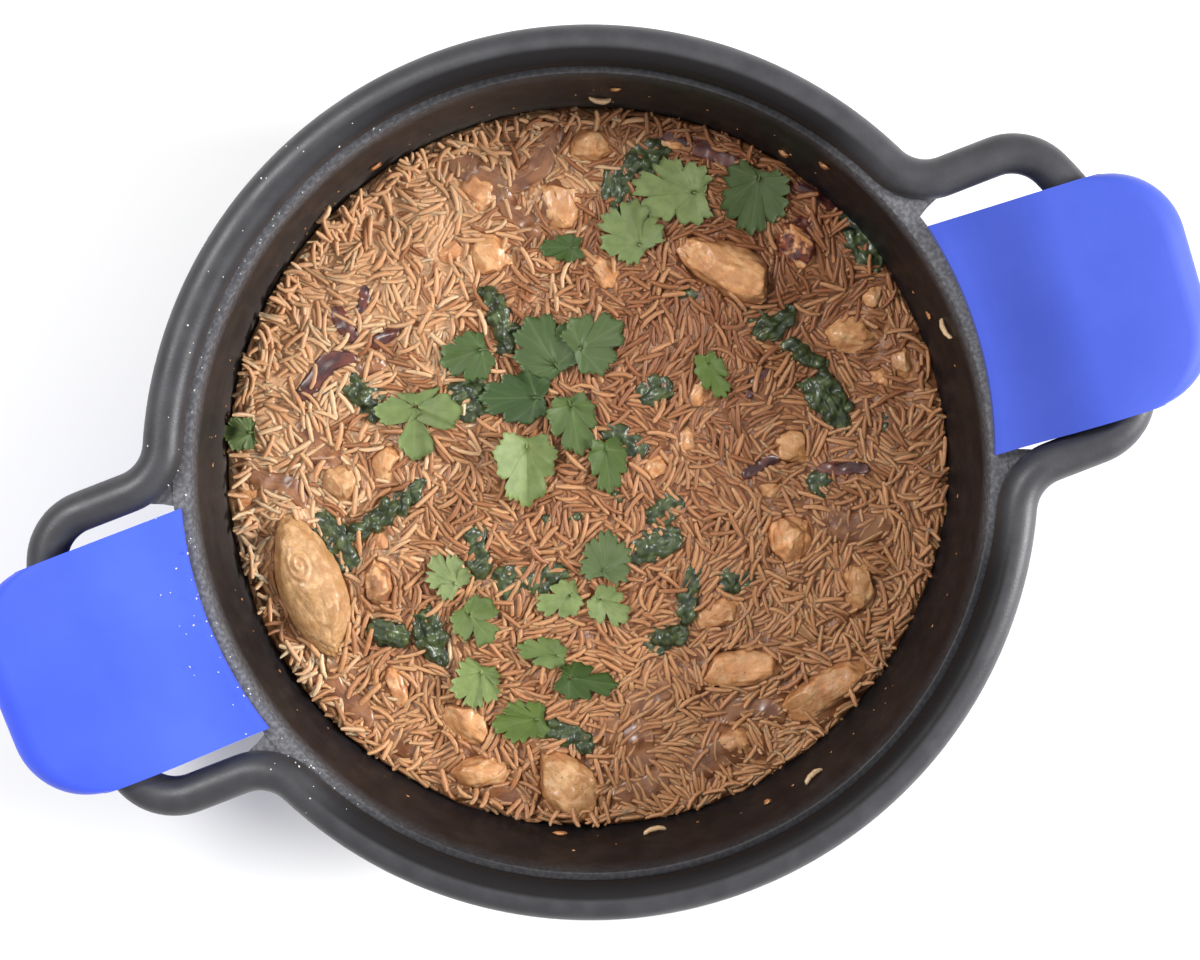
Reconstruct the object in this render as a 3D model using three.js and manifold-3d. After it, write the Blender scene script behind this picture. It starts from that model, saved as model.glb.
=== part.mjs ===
// A cast cooking pot of chicken pilaf, open at the top, with a folded silicone cover on each handle.
// Millimetres, +Z up. The origin is the middle of the pot's base; +X runs out through the right handle.
// Along a handle, u is the distance from the pot's axis and v the distance from the handle's middle.

import * as THREE from 'three';
import { mergeVertices } from 'three/addons/utils/BufferGeometryUtils.js';
import Module from 'manifold-3d';

// ---------------------------------------------------------------- driving dimensions

const GAP = 0.4; // clearance between pieces that touch

// Pot: a lathe-turned body with a flat lip.
const LIP_RADIUS = 140; // the pot's mouth, at its lip
const LIP_WIDTH = 6.3;
const LIP_HEIGHT = 105.5;
const LIP_THICKNESS = 4;
const LIP_CHAMFER = 1; // on the lip's inner edge
const LIP_FILLET = 1.5; // how far the wall thickens out below the lip
const WALL_DRAFT = 0.082; // how far the wall leans out for each mm of height
const WALL_THICKNESS = 5;
const FLOOR_THICKNESS = 6;
const INNER_CORNER = 20;
const BASE_RADIUS = 118; // the flat face that the pot stands on
const POT_SEGMENTS = 60;

// Rolled rim, which runs out and round each handle as one bar.
const ROLL_RADIUS = 7;
const ROLL_HEIGHT = 108;
const ROLL_SIDES = 8;
const RIM_RADIUS = 149.4;
const ARM_OFFSET = 53.1; // v of a handle's arms
const ARM_END = 170; // u where the arms bend into the bar
const BEND_RADIUS = 19;
const CORNER_TURN = THREE.MathUtils.degToRad(65);
const WEB_OUTLINE = [[134, 53], [138, 42], [143, 45], [149, 47.5], [149, 52]]; // fills a handle's root
const WEB_RECESS = 0.3; // how far the web's faces lie inside the lip's

// Handle covers: a thick silicone sheet folded round the bar, open at its inner end and its sides.
const COVER_HALF_WIDTH = 41.5;
const COVER_REACH = 222; // u of the fold's nose
const COVER_CORNER = 26;
const COVER_THICKNESS = 3.2;
const FOLD_RADIUS = 7.5; // inside the fold
const FOLD_CLEARANCE = 1; // between the bar and the fold
const LEAF_CLEARANCE = 0.5; // between the upper leaf's end and the lip
const LOWER_LEAF_SAG = 0.8;
const SHORTEST_FLAT = 2; // of the upper leaf, between its knee and the fold
const TOP_LEAF_RADIUS = 143.5; // the upper leaf ends on this circle, over the lip
const LOWER_LEAF_RADIUS = 152;
const LEAF_KNEE = 178; // u where the upper leaf starts to slope down to the lip
const RIGHT_COVER = { at: [145, -3], turn: -4.2 }; // the right cover sits a little askew
const LEFT_COVER = { at: [145, 0], turn: 0 };

// Pilaf: fills the pot to about half its depth, a little higher on the left.
const PILAF_LEVEL = 53;
const PILAF_SLOPE = [-0.04, 0.02]; // rise for each mm along X and along Y
const PILAF_RINGS = 27;
const PILAF_SWELL = 0.96; // broad heaps and hollows
const PILAF_EDGE = 7; // the longest edge between two corners of the surface
const PILAF_JITTER = 0.3; // how unevenly its rings are spaced, as a share of their spacing
const GRAIN_BUMP = 1.3; // relief of the size of the grains

// Toppings
const CHICKEN_SINK = 2.8; // how deep a piece of chicken is bedded in the rice
const GREEN_SINK = 1.6;
const LEAF_THICKNESS = 0.8;
const LEAF_WAVE = 1.1; // how far a leaf's corners curl up
const ONION_THICKNESS = 1.2;
const WALL_CLIMB = { from: 127, slope: 2 }; // a leaf that leans on the wall bends up past this radius
const SETTLING_PASSES = 12; // rounds in which a leaf or a strip is lifted clear of what it lies on
const CORNER_REACH = 1.2; // a leaf's corner clears all that lies within this distance of it

// Chicken, each [length, width, height], turned about +Z in degrees; sides is its number of corners.
const CHICKEN = [
  { name: 'chicken_fillet_left', at: [-113, -1], size: [57, 27, 14], turn: -92, sides: 20, taper: -0.2 },
  { name: 'chicken_left_inner', at: [-90, -10], size: [24, 15, 9], turn: -109, taper: -0.1 },
  { name: 'chicken_left_pale', at: [-89, 29], size: [19, 13, 8], turn: -81, taper: 0.3 },
  { name: 'chicken_left_block', at: [-70, 30], size: [18, 14, 6], turn: 58 },
  { name: 'chicken_big_upper_right', at: [75, 52], size: [44, 21, 13], turn: -48, sides: 20, taper: -0.1 },
  { name: 'chicken_browned', at: [103, 51], size: [25, 17, 8], turn: -71 },
  { name: 'chicken_flat_right', at: [110, 12], size: [25, 16, 6], turn: -16, taper: 0.1 },
  { name: 'chicken_edge_right', at: [125, -4], size: [16, 10, 7], turn: -100 },
  { name: 'chicken_wedge', at: [61, -52], size: [22, 19, 10], turn: -100, taper: 0.5 },
  { name: 'chicken_oval_right', at: [79, -78], size: [23, 16, 9], turn: -100 },
  { name: 'chicken_lower_right', at: [26, -91], size: [39, 16, 7], turn: -15, sides: 18 },
  { name: 'chicken_long_lower_right', at: [54, -110], size: [44, 16, 9], turn: 12, sides: 18, taper: 0.2 },
  { name: 'chicken_lower_block', at: [13, -117], size: [16, 15, 7], turn: 0 },
  { name: 'chicken_bottom', at: [-52, -107], size: [33, 22, 11], turn: -66, sides: 18, taper: -0.1 },
  { name: 'chicken_bottom_left', at: [-81, -91], size: [28, 14, 8], turn: -21 },
  { name: 'chicken_lower_left', at: [-78, -72], size: [27, 15, 7], turn: -60, taper: -0.2 },
  { name: 'chicken_strip_left', at: [-98, -50], size: [28, 9, 6], turn: -97, taper: 0.3 },
  { name: 'chicken_top', at: [44, 113], size: [22, 16, 8], turn: -21 },
  { name: 'chicken_top_shred', at: [25, 96], size: [25, 20, 7], turn: -91 },
  { name: 'chicken_upper_left', at: [-6, 89], size: [22, 19, 6], turn: -71 },
  { name: 'chicken_pale_right', at: [74, -20], size: [20, 16, 6], turn: -51, taper: 0.2 },
  { name: 'chicken_lower_middle', at: [26, -69], size: [23, 14, 6], turn: -6 },
];

// Wilted greens, crumpled into low clumps.
const GREENS = [
  { name: 'greens_upper_left', at: [-11, 65], size: [25, 11, 4.5], turn: -85 },
  { name: 'greens_left', at: [-68, 55], size: [20, 14, 4.5], turn: -61 },
  { name: 'greens_left_long', at: [-77, 13], size: [36, 9, 4], turn: 14 },
  { name: 'greens_left_small', at: [-93, -30], size: [15, 11, 4.5], turn: -41 },
  { name: 'greens_left_clump', at: [-79, -36], size: [22, 13, 5], turn: -91 },
  { name: 'greens_right_upper', at: [84, 27], size: [17, 14, 5], turn: 9 },
  { name: 'greens_right_middle', at: [91, 11], size: [19, 8, 4], turn: -50 },
  { name: 'greens_right_clump', at: [93, -8], size: [24, 15, 5], turn: -71 },
  { name: 'greens_lower_middle', at: [3, -70], size: [16, 11, 4.5], turn: 0 },
];

// Coriander leaves from the lowest to the uppermost, each [length, width]; turn points from stalk to tip.
const CORIANDER = [
  { name: 'coriander_01', at: [68, 86], size: [37, 27], turn: 149, lobes: 5 },
  { name: 'coriander_02', at: [95, 74], size: [31, 29], turn: -120, lobes: 5 },
  { name: 'coriander_03', at: [45, 76], size: [28, 26], turn: 120, lobes: 5 },
  { name: 'coriander_04', at: [21, 81], size: [19, 11], turn: 159, lobes: 3 },
  { name: 'coriander_05', at: [-26, 57], size: [23, 21], turn: 179, lobes: 3 },
  { name: 'coriander_06', at: [1, 47], size: [32, 28], turn: 100, lobes: 3 },
  { name: 'coriander_07', at: [18, 45], size: [29, 26], turn: 10, lobes: 3 },
  { name: 'coriander_08', at: [-15, 35], size: [33, 21], turn: 160, lobes: 3 },
  { name: 'coriander_09', at: [1, 21], size: [26, 19], turn: -100, lobes: 3 },
  { name: 'coriander_10', at: [-21, 12], size: [31, 25], turn: -111, lobes: 3 },
  { name: 'coriander_11', at: [7, 1], size: [26, 16], turn: -105, lobes: 3 },
  { name: 'coriander_12', at: [-55, 43], size: [34, 29], turn: -90, lobes: 3, notch: 0.55 },
  { name: 'coriander_13', at: [-115, 60], size: [15, 15], turn: 160, lobes: 5, leans: true },
  { name: 'coriander_14', at: [56, 18], size: [24, 13], turn: -85, lobes: 3 },
  { name: 'coriander_15', at: [-7, -33], size: [24, 21], turn: 60, lobes: 5 },
  { name: 'coriander_16', at: [-27, -41], size: [20, 14], turn: 180, lobes: 3, notch: 0.4 },
  { name: 'coriander_17', at: [-13, -49], size: [20, 14], turn: -60, lobes: 3, notch: 0.4 },
  { name: 'coriander_18', at: [-64, -18], size: [20, 17], turn: 110, lobes: 5 },
  { name: 'coriander_19', at: [-61, -37], size: [24, 22], turn: -70, lobes: 3, notch: 0.4 },
  { name: 'coriander_20', at: [-40, -58], size: [24, 12], turn: 145, lobes: 3 },
  { name: 'coriander_21', at: [-32, -72], size: [27, 15], turn: -31, lobes: 3, notch: 0.4 },
  { name: 'coriander_22', at: [-68, -59], size: [22, 21], turn: -125, lobes: 5 },
  { name: 'coriander_23', at: [-57, -79], size: [25, 17], turn: 165, lobes: 5 },
];

// Strips of softened onion, each [length, width], bent by a number of degrees along their length.
const ONION = [
  { name: 'onion_left', at: [-110, 37], size: [24, 8], turn: -46, bend: 50 },
  { name: 'onion_lower_left', at: [-117, -48], size: [26, 10], turn: -69, bend: -14 },
];

// ---------------------------------------------------------------- solids

const wasm = await Module();
wasm.setup();

// Merges a geometry's shared corners and drops the triangles that have closed up to nothing.
function cleaned(geometry) {
  const bare = geometry.clone();
  bare.deleteAttribute('normal');
  bare.deleteAttribute('uv');
  const merged = mergeVertices(bare, 1e-4);
  const corners = merged.index.array;
  const kept = [];
  for (let i = 0; i < corners.length; i += 3) {
    const [a, b, c] = [corners[i], corners[i + 1], corners[i + 2]];
    if (a !== b && b !== c && c !== a) kept.push(a, b, c);
  }
  merged.setIndex(kept);
  return merged;
}

function signedVolume(geometry) {
  const place = geometry.attributes.position;
  const corners = geometry.index.array;
  const [a, b, c] = [new THREE.Vector3(), new THREE.Vector3(), new THREE.Vector3()];
  let volume = 0;
  for (let i = 0; i < corners.length; i += 3) {
    a.fromBufferAttribute(place, corners[i]);
    b.fromBufferAttribute(place, corners[i + 1]);
    c.fromBufferAttribute(place, corners[i + 2]);
    volume += a.dot(b.cross(c)) / 6;
  }
  return volume;
}

// A closed geometry with its faces pointing out.
function closed(geometry) {
  const solid = cleaned(geometry);
  if (signedVolume(solid) < 0) {
    const corners = solid.index.array;
    for (let i = 0; i < corners.length; i += 3) [corners[i], corners[i + 1]] = [corners[i + 1], corners[i]];
  }
  return solid;
}

function fromCorners(points, triangles) {
  const geometry = new THREE.BufferGeometry();
  geometry.setAttribute('position', new THREE.Float32BufferAttribute(points.flat(), 3));
  geometry.setIndex(triangles.flat());
  return closed(geometry);
}

function joined(geometries) {
  const solids = geometries.map((geometry) => {
    const solid = closed(geometry);
    return new wasm.Manifold(new wasm.Mesh({
      numProp: 3,
      vertProperties: new Float32Array(solid.attributes.position.array),
      triVerts: new Uint32Array(solid.index.array),
    }));
  });
  const mesh = solids.reduce((whole, solid) => whole.add(solid)).getMesh();
  const result = new THREE.BufferGeometry();
  result.setAttribute('position', new THREE.BufferAttribute(mesh.vertProperties, 3));
  result.setIndex(Array.from(mesh.triVerts));
  return closed(result);
}

// Joins two loops of corners, counted round the same way, whatever their lengths. The triangles face
// out where the first loop is below the second and both run counter-clockwise.
function stitch(lower, upper) {
  const triangles = [];
  let [i, j] = [0, 0];
  while (i < lower.length || j < upper.length) {
    const a = lower[i % lower.length];
    const b = upper[j % upper.length];
    if ((i + 0.5) / lower.length < (j + 0.5) / upper.length) {
      i += 1;
      triangles.push([a, lower[i % lower.length], b]);
    } else {
      j += 1;
      triangles.push([a, upper[j % upper.length], b]);
    }
  }
  return triangles;
}

function fan(centre, loop) {
  return loop.map((corner, i) => [centre, corner, loop[(i + 1) % loop.length]]);
}

const flipped = (triangles) => triangles.map(([a, b, c]) => [a, c, b]);

function random(seed) {
  let state = seed;
  return () => {
    state = (state * 1664525 + 1013904223) % 4294967296;
    return state / 4294967296;
  };
}

// ---------------------------------------------------------------- pot

const wallRadius = (z) => LIP_RADIUS - WALL_DRAFT * (LIP_HEIGHT - z);

// Points on an arc in the plane, from one angle to another, both ends included.
function arc(centreX, centreY, radius, from, to, steps) {
  return Array.from({ length: steps + 1 }, (_, i) => {
    const angle = from + ((to - from) * i) / steps;
    return [centreX + radius * Math.cos(angle), centreY + radius * Math.sin(angle)];
  });
}

function potBody() {
  const outerCorner = wallRadius(0) + WALL_THICKNESS - BASE_RADIUS;
  const innerCorner = wallRadius(FLOOR_THICKNESS + INNER_CORNER) - INNER_CORNER;
  const lipOuter = LIP_RADIUS + LIP_WIDTH;
  const underLip = LIP_HEIGHT - LIP_THICKNESS;
  const profile = [
    [0, 0],
    ...arc(BASE_RADIUS, outerCorner, outerCorner, -Math.PI / 2, 0, 4),
    [wallRadius(underLip) + WALL_THICKNESS, underLip - LIP_FILLET],
    [lipOuter, underLip],
    [lipOuter, LIP_HEIGHT],
    [LIP_RADIUS + LIP_CHAMFER, LIP_HEIGHT],
    [LIP_RADIUS, LIP_HEIGHT - LIP_CHAMFER],
    ...arc(innerCorner, FLOOR_THICKNESS + INNER_CORNER, INNER_CORNER, 0, -Math.PI / 2, 4),
    [0, FLOOR_THICKNESS],
  ];
  const turned = new THREE.LatheGeometry(profile.map(([x, y]) => new THREE.Vector2(x, y)), POT_SEGMENTS);
  return turned.rotateX(Math.PI / 2);
}

// The bar of a handle bows out on a circle about a point on the handle's middle line.
const BAR_START = [
  ARM_END + BEND_RADIUS * Math.sin(CORNER_TURN),
  ARM_OFFSET - BEND_RADIUS + BEND_RADIUS * Math.cos(CORNER_TURN),
];
const BAR_BOW = BAR_START[1] / Math.cos(CORNER_TURN);
const BAR_CENTRE = BAR_START[0] - BAR_BOW * Math.sin(CORNER_TURN);

// A quarter of the roll's middle line: from the middle of the right handle's bar to the back of the rim.
function quarterRoll() {
  const cornerV = ARM_OFFSET - BEND_RADIUS;
  const rootV = ARM_OFFSET + BEND_RADIUS;
  const rootU = Math.sqrt((RIM_RADIUS + BEND_RADIUS) ** 2 - rootV ** 2);
  const rootAngle = Math.atan2(rootV, rootU);
  const turn = Math.PI / 2 - CORNER_TURN;
  return [
    ...arc(BAR_CENTRE, 0, BAR_BOW, 0, turn, 3).slice(0, -1),
    ...arc(ARM_END, cornerV, BEND_RADIUS, turn, Math.PI / 2, 4),
    ...arc(rootU, rootV, BEND_RADIUS, -Math.PI / 2, -Math.PI + rootAngle, 4),
    ...arc(0, 0, RIM_RADIUS, rootAngle, Math.PI / 2, 11).slice(1),
  ];
}

function rollPath() {
  const quarter = quarterRoll();
  const mirrored = quarter.slice(1, -1).reverse().map(([x, y]) => [-x, y]);
  const half = [...quarter, ...mirrored];
  return [...half, ...half.map(([x, y]) => [-x, -y])];
}

// A round bar bent along a closed path that lies flat.
function ringBar(path, radius, height, sides) {
  const points = [];
  const triangles = [];
  path.forEach(([x, y], i) => {
    const [nextX, nextY] = path[(i + 1) % path.length];
    const [lastX, lastY] = path[(i + path.length - 1) % path.length];
    const length = Math.hypot(nextX - lastX, nextY - lastY);
    const outX = (nextY - lastY) / length;
    const outY = -(nextX - lastX) / length;
    for (let j = 0; j < sides; j += 1) {
      const angle = ((j + 0.5) / sides) * 2 * Math.PI;
      const out = radius * Math.cos(angle);
      points.push([x + out * outX, y + out * outY, height + radius * Math.sin(angle)]);
      const here = i * sides;
      const there = ((i + 1) % path.length) * sides;
      const next = (j + 1) % sides;
      triangles.push([here + j, there + j, here + next], [there + j, there + next, here + next]);
    }
  });
  return fromCorners(points, triangles);
}

// The flat web that fills the narrow angle between the lip and a handle's root.
function rootWeb(sideX, sideY) {
  const shape = new THREE.Shape(WEB_OUTLINE.map(([x, y]) => new THREE.Vector2(sideX * x, sideY * y)));
  const depth = LIP_THICKNESS - 2 * WEB_RECESS;
  const plate = new THREE.ExtrudeGeometry(shape, { depth, bevelEnabled: false });
  return plate.translate(0, 0, LIP_HEIGHT - LIP_THICKNESS + WEB_RECESS);
}

function casserole() {
  const webs = [[1, 1], [-1, 1], [-1, -1], [1, -1]].map(([x, y]) => rootWeb(x, y));
  return joined([potBody(), ringBar(rollPath(), ROLL_RADIUS, ROLL_HEIGHT, ROLL_SIDES), ...webs]);
}

// ---------------------------------------------------------------- handle covers

// The section of a cover at v: the two leaves and the fold that joins them, as [u, z].
function coverSection(v) {
  const straight = COVER_HALF_WIDTH - COVER_CORNER;
  const across = Math.min(Math.max(Math.abs(v) - straight, 0), COVER_CORNER);
  const rounded = COVER_REACH - COVER_CORNER + Math.sqrt(COVER_CORNER ** 2 - across ** 2);
  const barOuter = BAR_CENTRE + Math.sqrt(BAR_BOW ** 2 - v ** 2) + ROLL_RADIUS / Math.sin(CORNER_TURN);
  const nose = Math.max(rounded, barOuter + FOLD_CLEARANCE + COVER_THICKNESS);
  const fold = FOLD_RADIUS + COVER_THICKNESS;
  const foldU = nose - fold;
  const lipU = Math.sqrt(TOP_LEAF_RADIUS ** 2 - v ** 2);
  const lowerU = Math.sqrt(LOWER_LEAF_RADIUS ** 2 - v ** 2);
  const lipZ = LIP_HEIGHT + LEAF_CLEARANCE;
  const knee = Math.min(LEAF_KNEE, foldU - SHORTEST_FLAT);
  const outside = arc(foldU, ROLL_HEIGHT, fold, Math.PI / 2, -Math.PI / 2, 4);
  const inside = arc(foldU, ROLL_HEIGHT, FOLD_RADIUS, -Math.PI / 2, Math.PI / 2, 4);
  return [
    [lipU, lipZ + COVER_THICKNESS],
    [knee, ROLL_HEIGHT + fold],
    ...outside,
    [lowerU, ROLL_HEIGHT - fold - LOWER_LEAF_SAG],
    [lowerU, ROLL_HEIGHT - FOLD_RADIUS - LOWER_LEAF_SAG],
    ...inside,
    [knee, ROLL_HEIGHT + FOLD_RADIUS],
    [lipU, lipZ],
  ];
}

function handleCover() {
  const stations = [-1, -0.93, -0.8, -0.55, -0.2, 0.2, 0.55, 0.8, 0.93, 1];
  const sections = stations.map((share) => {
    const v = share * COVER_HALF_WIDTH;
    return coverSection(v).map(([u, z]) => [u, v, z]);
  });
  const size = sections[0].length;
  const loops = sections.map((_, i) => Array.from({ length: size }, (__, j) => i * size + j));
  const triangles = [];
  for (let i = 1; i < loops.length; i += 1) {
    for (let j = 0; j < size; j += 1) {
      const next = (j + 1) % size;
      triangles.push([loops[i - 1][j], loops[i][j], loops[i - 1][next]]);
      triangles.push([loops[i][j], loops[i][next], loops[i - 1][next]]);
    }
  }
  for (let j = 0; j < size / 2 - 1; j += 1) {
    const back = size - 1 - j;
    for (const [loop, flip] of [[loops[0], true], [loops.at(-1), false]]) {
      const quad = [[loop[j], loop[back], loop[j + 1]], [loop[j + 1], loop[back], loop[back - 1]]];
      triangles.push(...(flip ? flipped(quad) : quad));
    }
  }
  return fromCorners(sections.flat(), triangles);
}

// ---------------------------------------------------------------- what lies on what

// The upper and lower height of everything that has been laid so far, on a grid of 1 mm.
class HeightMap {
  constructor(reach) {
    this.reach = reach;
    this.side = 2 * reach + 1;
    this.top = new Float32Array(this.side ** 2).fill(-Infinity);
    this.under = new Float32Array(this.side ** 2).fill(Infinity);
  }

  add(mesh) {
    mesh.updateMatrixWorld();
    const solid = mesh.geometry.clone().applyMatrix4(mesh.matrixWorld);
    const place = solid.attributes.position;
    const corners = solid.index.array;
    const [a, b, c] = [new THREE.Vector3(), new THREE.Vector3(), new THREE.Vector3()];
    for (let i = 0; i < corners.length; i += 3) {
      a.fromBufferAttribute(place, corners[i]);
      b.fromBufferAttribute(place, corners[i + 1]);
      c.fromBufferAttribute(place, corners[i + 2]);
      this.addTriangle(a, b, c);
    }
  }

  // Calls visit(x, y, weightB, weightC) at each grid point that a triangle covers in plan.
  eachCell(a, b, c, visit) {
    const area = (b.x - a.x) * (c.y - a.y) - (c.x - a.x) * (b.y - a.y);
    if (Math.abs(area) < 1e-6) return;
    const [minX, maxX] = [Math.min(a.x, b.x, c.x), Math.max(a.x, b.x, c.x)];
    const [minY, maxY] = [Math.min(a.y, b.y, c.y), Math.max(a.y, b.y, c.y)];
    for (let x = Math.floor(minX); x <= Math.ceil(maxX); x += 1) {
      for (let y = Math.floor(minY); y <= Math.ceil(maxY); y += 1) {
        const wB = ((x - a.x) * (c.y - a.y) - (c.x - a.x) * (y - a.y)) / area;
        const wC = ((b.x - a.x) * (y - a.y) - (x - a.x) * (b.y - a.y)) / area;
        if (wB >= -0.05 && wC >= -0.05 && wB + wC <= 1.05) visit(x, y, wB, wC);
      }
    }
  }

  addTriangle(a, b, c) {
    this.eachCell(a, b, c, (x, y, wB, wC) => this.note(x, y, a.z + wB * (b.z - a.z) + wC * (c.z - a.z)));
  }

  // Raises a face's corners, the nearest the most, until it clears what lies below it.
  lift(a, b, c) {
    this.eachCell(a, b, c, (x, y, wB, wC) => {
      const wA = 1 - wB - wC;
      const short = this.highest(x, y, CORNER_REACH) + GAP - (wA * a.z + wB * b.z + wC * c.z);
      if (short <= 0) return;
      const share = short / (wA ** 2 + wB ** 2 + wC ** 2);
      a.z += share * Math.max(wA, 0);
      b.z += share * Math.max(wB, 0);
      c.z += share * Math.max(wC, 0);
    });
  }

  note(x, y, z) {
    if (Math.abs(x) > this.reach || Math.abs(y) > this.reach) return;
    const cell = (x + this.reach) * this.side + y + this.reach;
    this.top[cell] = Math.max(this.top[cell], z);
    this.under[cell] = Math.min(this.under[cell], z);
  }

  cellsWithin(x, y, radius) {
    const cells = [];
    for (let i = Math.ceil(x - radius); i <= x + radius; i += 1) {
      for (let j = Math.ceil(y - radius); j <= y + radius; j += 1) {
        if (Math.hypot(i - x, j - y) > radius || Math.max(Math.abs(i), Math.abs(j)) > this.reach) continue;
        cells.push((i + this.reach) * this.side + j + this.reach);
      }
    }
    return cells;
  }

  highest(x, y, radius) {
    return this.cellsWithin(x, y, radius).reduce((most, cell) => Math.max(most, this.top[cell]), -Infinity);
  }

  lowest(x, y, radius) {
    return this.cellsWithin(x, y, radius).reduce((least, cell) => Math.min(least, this.under[cell]), Infinity);
  }
}

const bedded = new HeightMap(LIP_RADIUS); // pieces that are sunk in the rice
const laid = new HeightMap(LIP_RADIUS); // everything that a leaf can lie on

// ---------------------------------------------------------------- chicken and greens

// The rice's broad surface, before the grains.
function riceLevel(x, y) {
  const swell = Math.sin(x / 31 + 0.8) * Math.cos(y / 27 - 0.4) + 0.6 * Math.sin((x - y) / 17);
  return PILAF_LEVEL + PILAF_SLOPE[0] * x + PILAF_SLOPE[1] * y + PILAF_SWELL * swell;
}

// A lumpy piece with a flat underside: rings of corners from the base up to the crown.
function lump({ size: [length, width, height], sides = 14, taper = 0 }, seed, roughness, rings) {
  const draw = random(seed);
  const phases = [draw(), draw(), draw(), draw()].map((share) => share * 2 * Math.PI);
  const points = [[0, 0, 0]];
  const loops = [];
  for (const [share, rise] of rings) {
    const loop = [];
    for (let i = 0; i < sides; i += 1) {
      const angle = ((i + 0.5 * loops.length) / sides) * 2 * Math.PI;
      const [cos, sin] = [Math.cos(angle), Math.sin(angle)];
      const boxy = (Math.abs(cos) ** 2.4 + Math.abs(sin) ** 2.4) ** (-1 / 2.4);
      const uneven = 1 + roughness * (0.5 * Math.sin(2 * angle + phases[0]) + 0.4 * Math.sin(3 * angle + phases[1])
        + 0.3 * Math.sin(5 * angle + phases[2] + rise));
      const along = share * boxy * uneven * cos;
      const across = share * boxy * uneven * sin * (1 - taper * cos);
      const lift = rise > 0 ? 0.12 * Math.sin(2 * angle + phases[3]) : 0;
      loop.push(points.length);
      points.push([0.5 * length * along, 0.5 * width * across, height * (rise + lift * rise)]);
    }
    loops.push(loop);
  }
  points.push([0, 0, height]);
  const triangles = [...flipped(fan(0, loops[0])), ...fan(points.length - 1, loops.at(-1))];
  for (let i = 1; i < loops.length; i += 1) triangles.push(...stitch(loops[i - 1], loops[i]));
  return fromCorners(points, triangles);
}

const CHICKEN_RINGS = [[0.7, 0], [1, 0.4], [0.7, 0.88]];
const GREEN_RINGS = [[0.78, 0], [1, 0.5]];

function chickenMesh(piece, index) {
  const mesh = new THREE.Mesh(lump(piece, 11 + index, 0.09, CHICKEN_RINGS), chickenMaterial());
  return bedIn(mesh, piece, CHICKEN_SINK);
}

function greenMesh(piece, index) {
  const mesh = new THREE.Mesh(lump({ ...piece, sides: 16 }, 71 + index, 0.22, GREEN_RINGS), greensMaterial());
  return bedIn(mesh, piece, GREEN_SINK);
}

function bedIn(mesh, { name, at: [x, y], turn }, sink) {
  mesh.name = name;
  mesh.position.set(x, y, riceLevel(x, y) - sink);
  mesh.rotation.z = THREE.MathUtils.degToRad(turn);
  bedded.add(mesh);
  return mesh;
}

// ---------------------------------------------------------------- pilaf

// The rice at a corner of its surface: broad level and grain-size bumps, held down under what lies in it.
function riceHeight(x, y, draw) {
  const bump = GRAIN_BUMP * (2 * draw() - 1);
  const clear = bedded.lowest(x, y, PILAF_EDGE) - GAP;
  return Math.min(riceLevel(x, y) + bump, clear);
}

function pilaf() {
  const draw = random(2026);
  const facetShare = Math.cos(Math.PI / POT_SEGMENTS);
  const fit = (z) => wallRadius(z) * facetShare - GAP;
  const spacing = fit(PILAF_LEVEL) / PILAF_RINGS;
  const points = [[0, 0, riceHeight(0, 0, draw)]];
  const surface = [];
  for (let ring = 1; ring <= PILAF_RINGS; ring += 1) {
    const loop = [];
    for (let i = 0; i < 6 * ring; i += 1) {
      const angle = (i / (6 * ring)) * 2 * Math.PI;
      const jitter = ring < PILAF_RINGS ? PILAF_JITTER * spacing * (draw() - 0.5) : 0;
      const radius = ring * spacing + jitter;
      const z = riceHeight(radius * Math.cos(angle), radius * Math.sin(angle), draw);
      const held = ring === PILAF_RINGS ? fit(z) : radius;
      loop.push(points.length);
      points.push([held * Math.cos(angle), held * Math.sin(angle), z]);
    }
    surface.push(loop);
  }
  const triangles = fan(0, surface[0]);
  for (let i = 1; i < surface.length; i += 1) triangles.push(...stitch(surface[i], surface[i - 1]));

  const cornerZ = FLOOR_THICKNESS + INNER_CORNER;
  const floorZ = FLOOR_THICKNESS + GAP;
  const cornerRadius = (wallRadius(cornerZ) - INNER_CORNER) * facetShare;
  const side = arc(cornerRadius, cornerZ, INNER_CORNER - GAP - 0.6, 0, -Math.PI / 2, 3);
  let above = surface.at(-1);
  for (const [radius, z] of side) {
    const loop = [];
    for (let i = 0; i < 2 * PILAF_RINGS; i += 1) {
      const angle = (i / (2 * PILAF_RINGS)) * 2 * Math.PI;
      loop.push(points.length);
      points.push([radius * Math.cos(angle), radius * Math.sin(angle), Math.max(z, floorZ)]);
    }
    triangles.push(...stitch(loop, above));
    above = loop;
  }
  points.push([0, 0, Math.max(side.at(-1)[1], floorZ)]);
  triangles.push(...flipped(fan(points.length - 1, above)));
  return fromCorners(points, triangles);
}

// ---------------------------------------------------------------- leaves and onion

// A leaf's outline from its stalk round to its stalk again, in a circle of radius 1, tip along +X.
function leafOutline({ lobes, notch = 0.25 }) {
  const spread = THREE.MathUtils.degToRad(155);
  const lobeWidth = (2 * spread) / lobes;
  const shoulders = lobes === 5 ? [-0.28, 0, 0.28] : [-0.36, -0.18, 0, 0.18, 0.36];
  const outline = [];
  for (let lobe = 0; lobe < lobes; lobe += 1) {
    const middle = -spread + (lobe + 0.5) * lobeWidth;
    for (const share of shoulders) {
      outline.push([middle + share * lobeWidth, 1 - 0.9 * share ** 2 - 0.12 * (Math.abs(middle) / spread)]);
    }
    if (lobe < lobes - 1) outline.push([middle + lobeWidth / 2, 1 - notch]);
  }
  outline.push([Math.PI, 0.35]);
  return outline.map(([angle, radius]) => [radius * Math.cos(angle), radius * Math.sin(angle)]);
}

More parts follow.
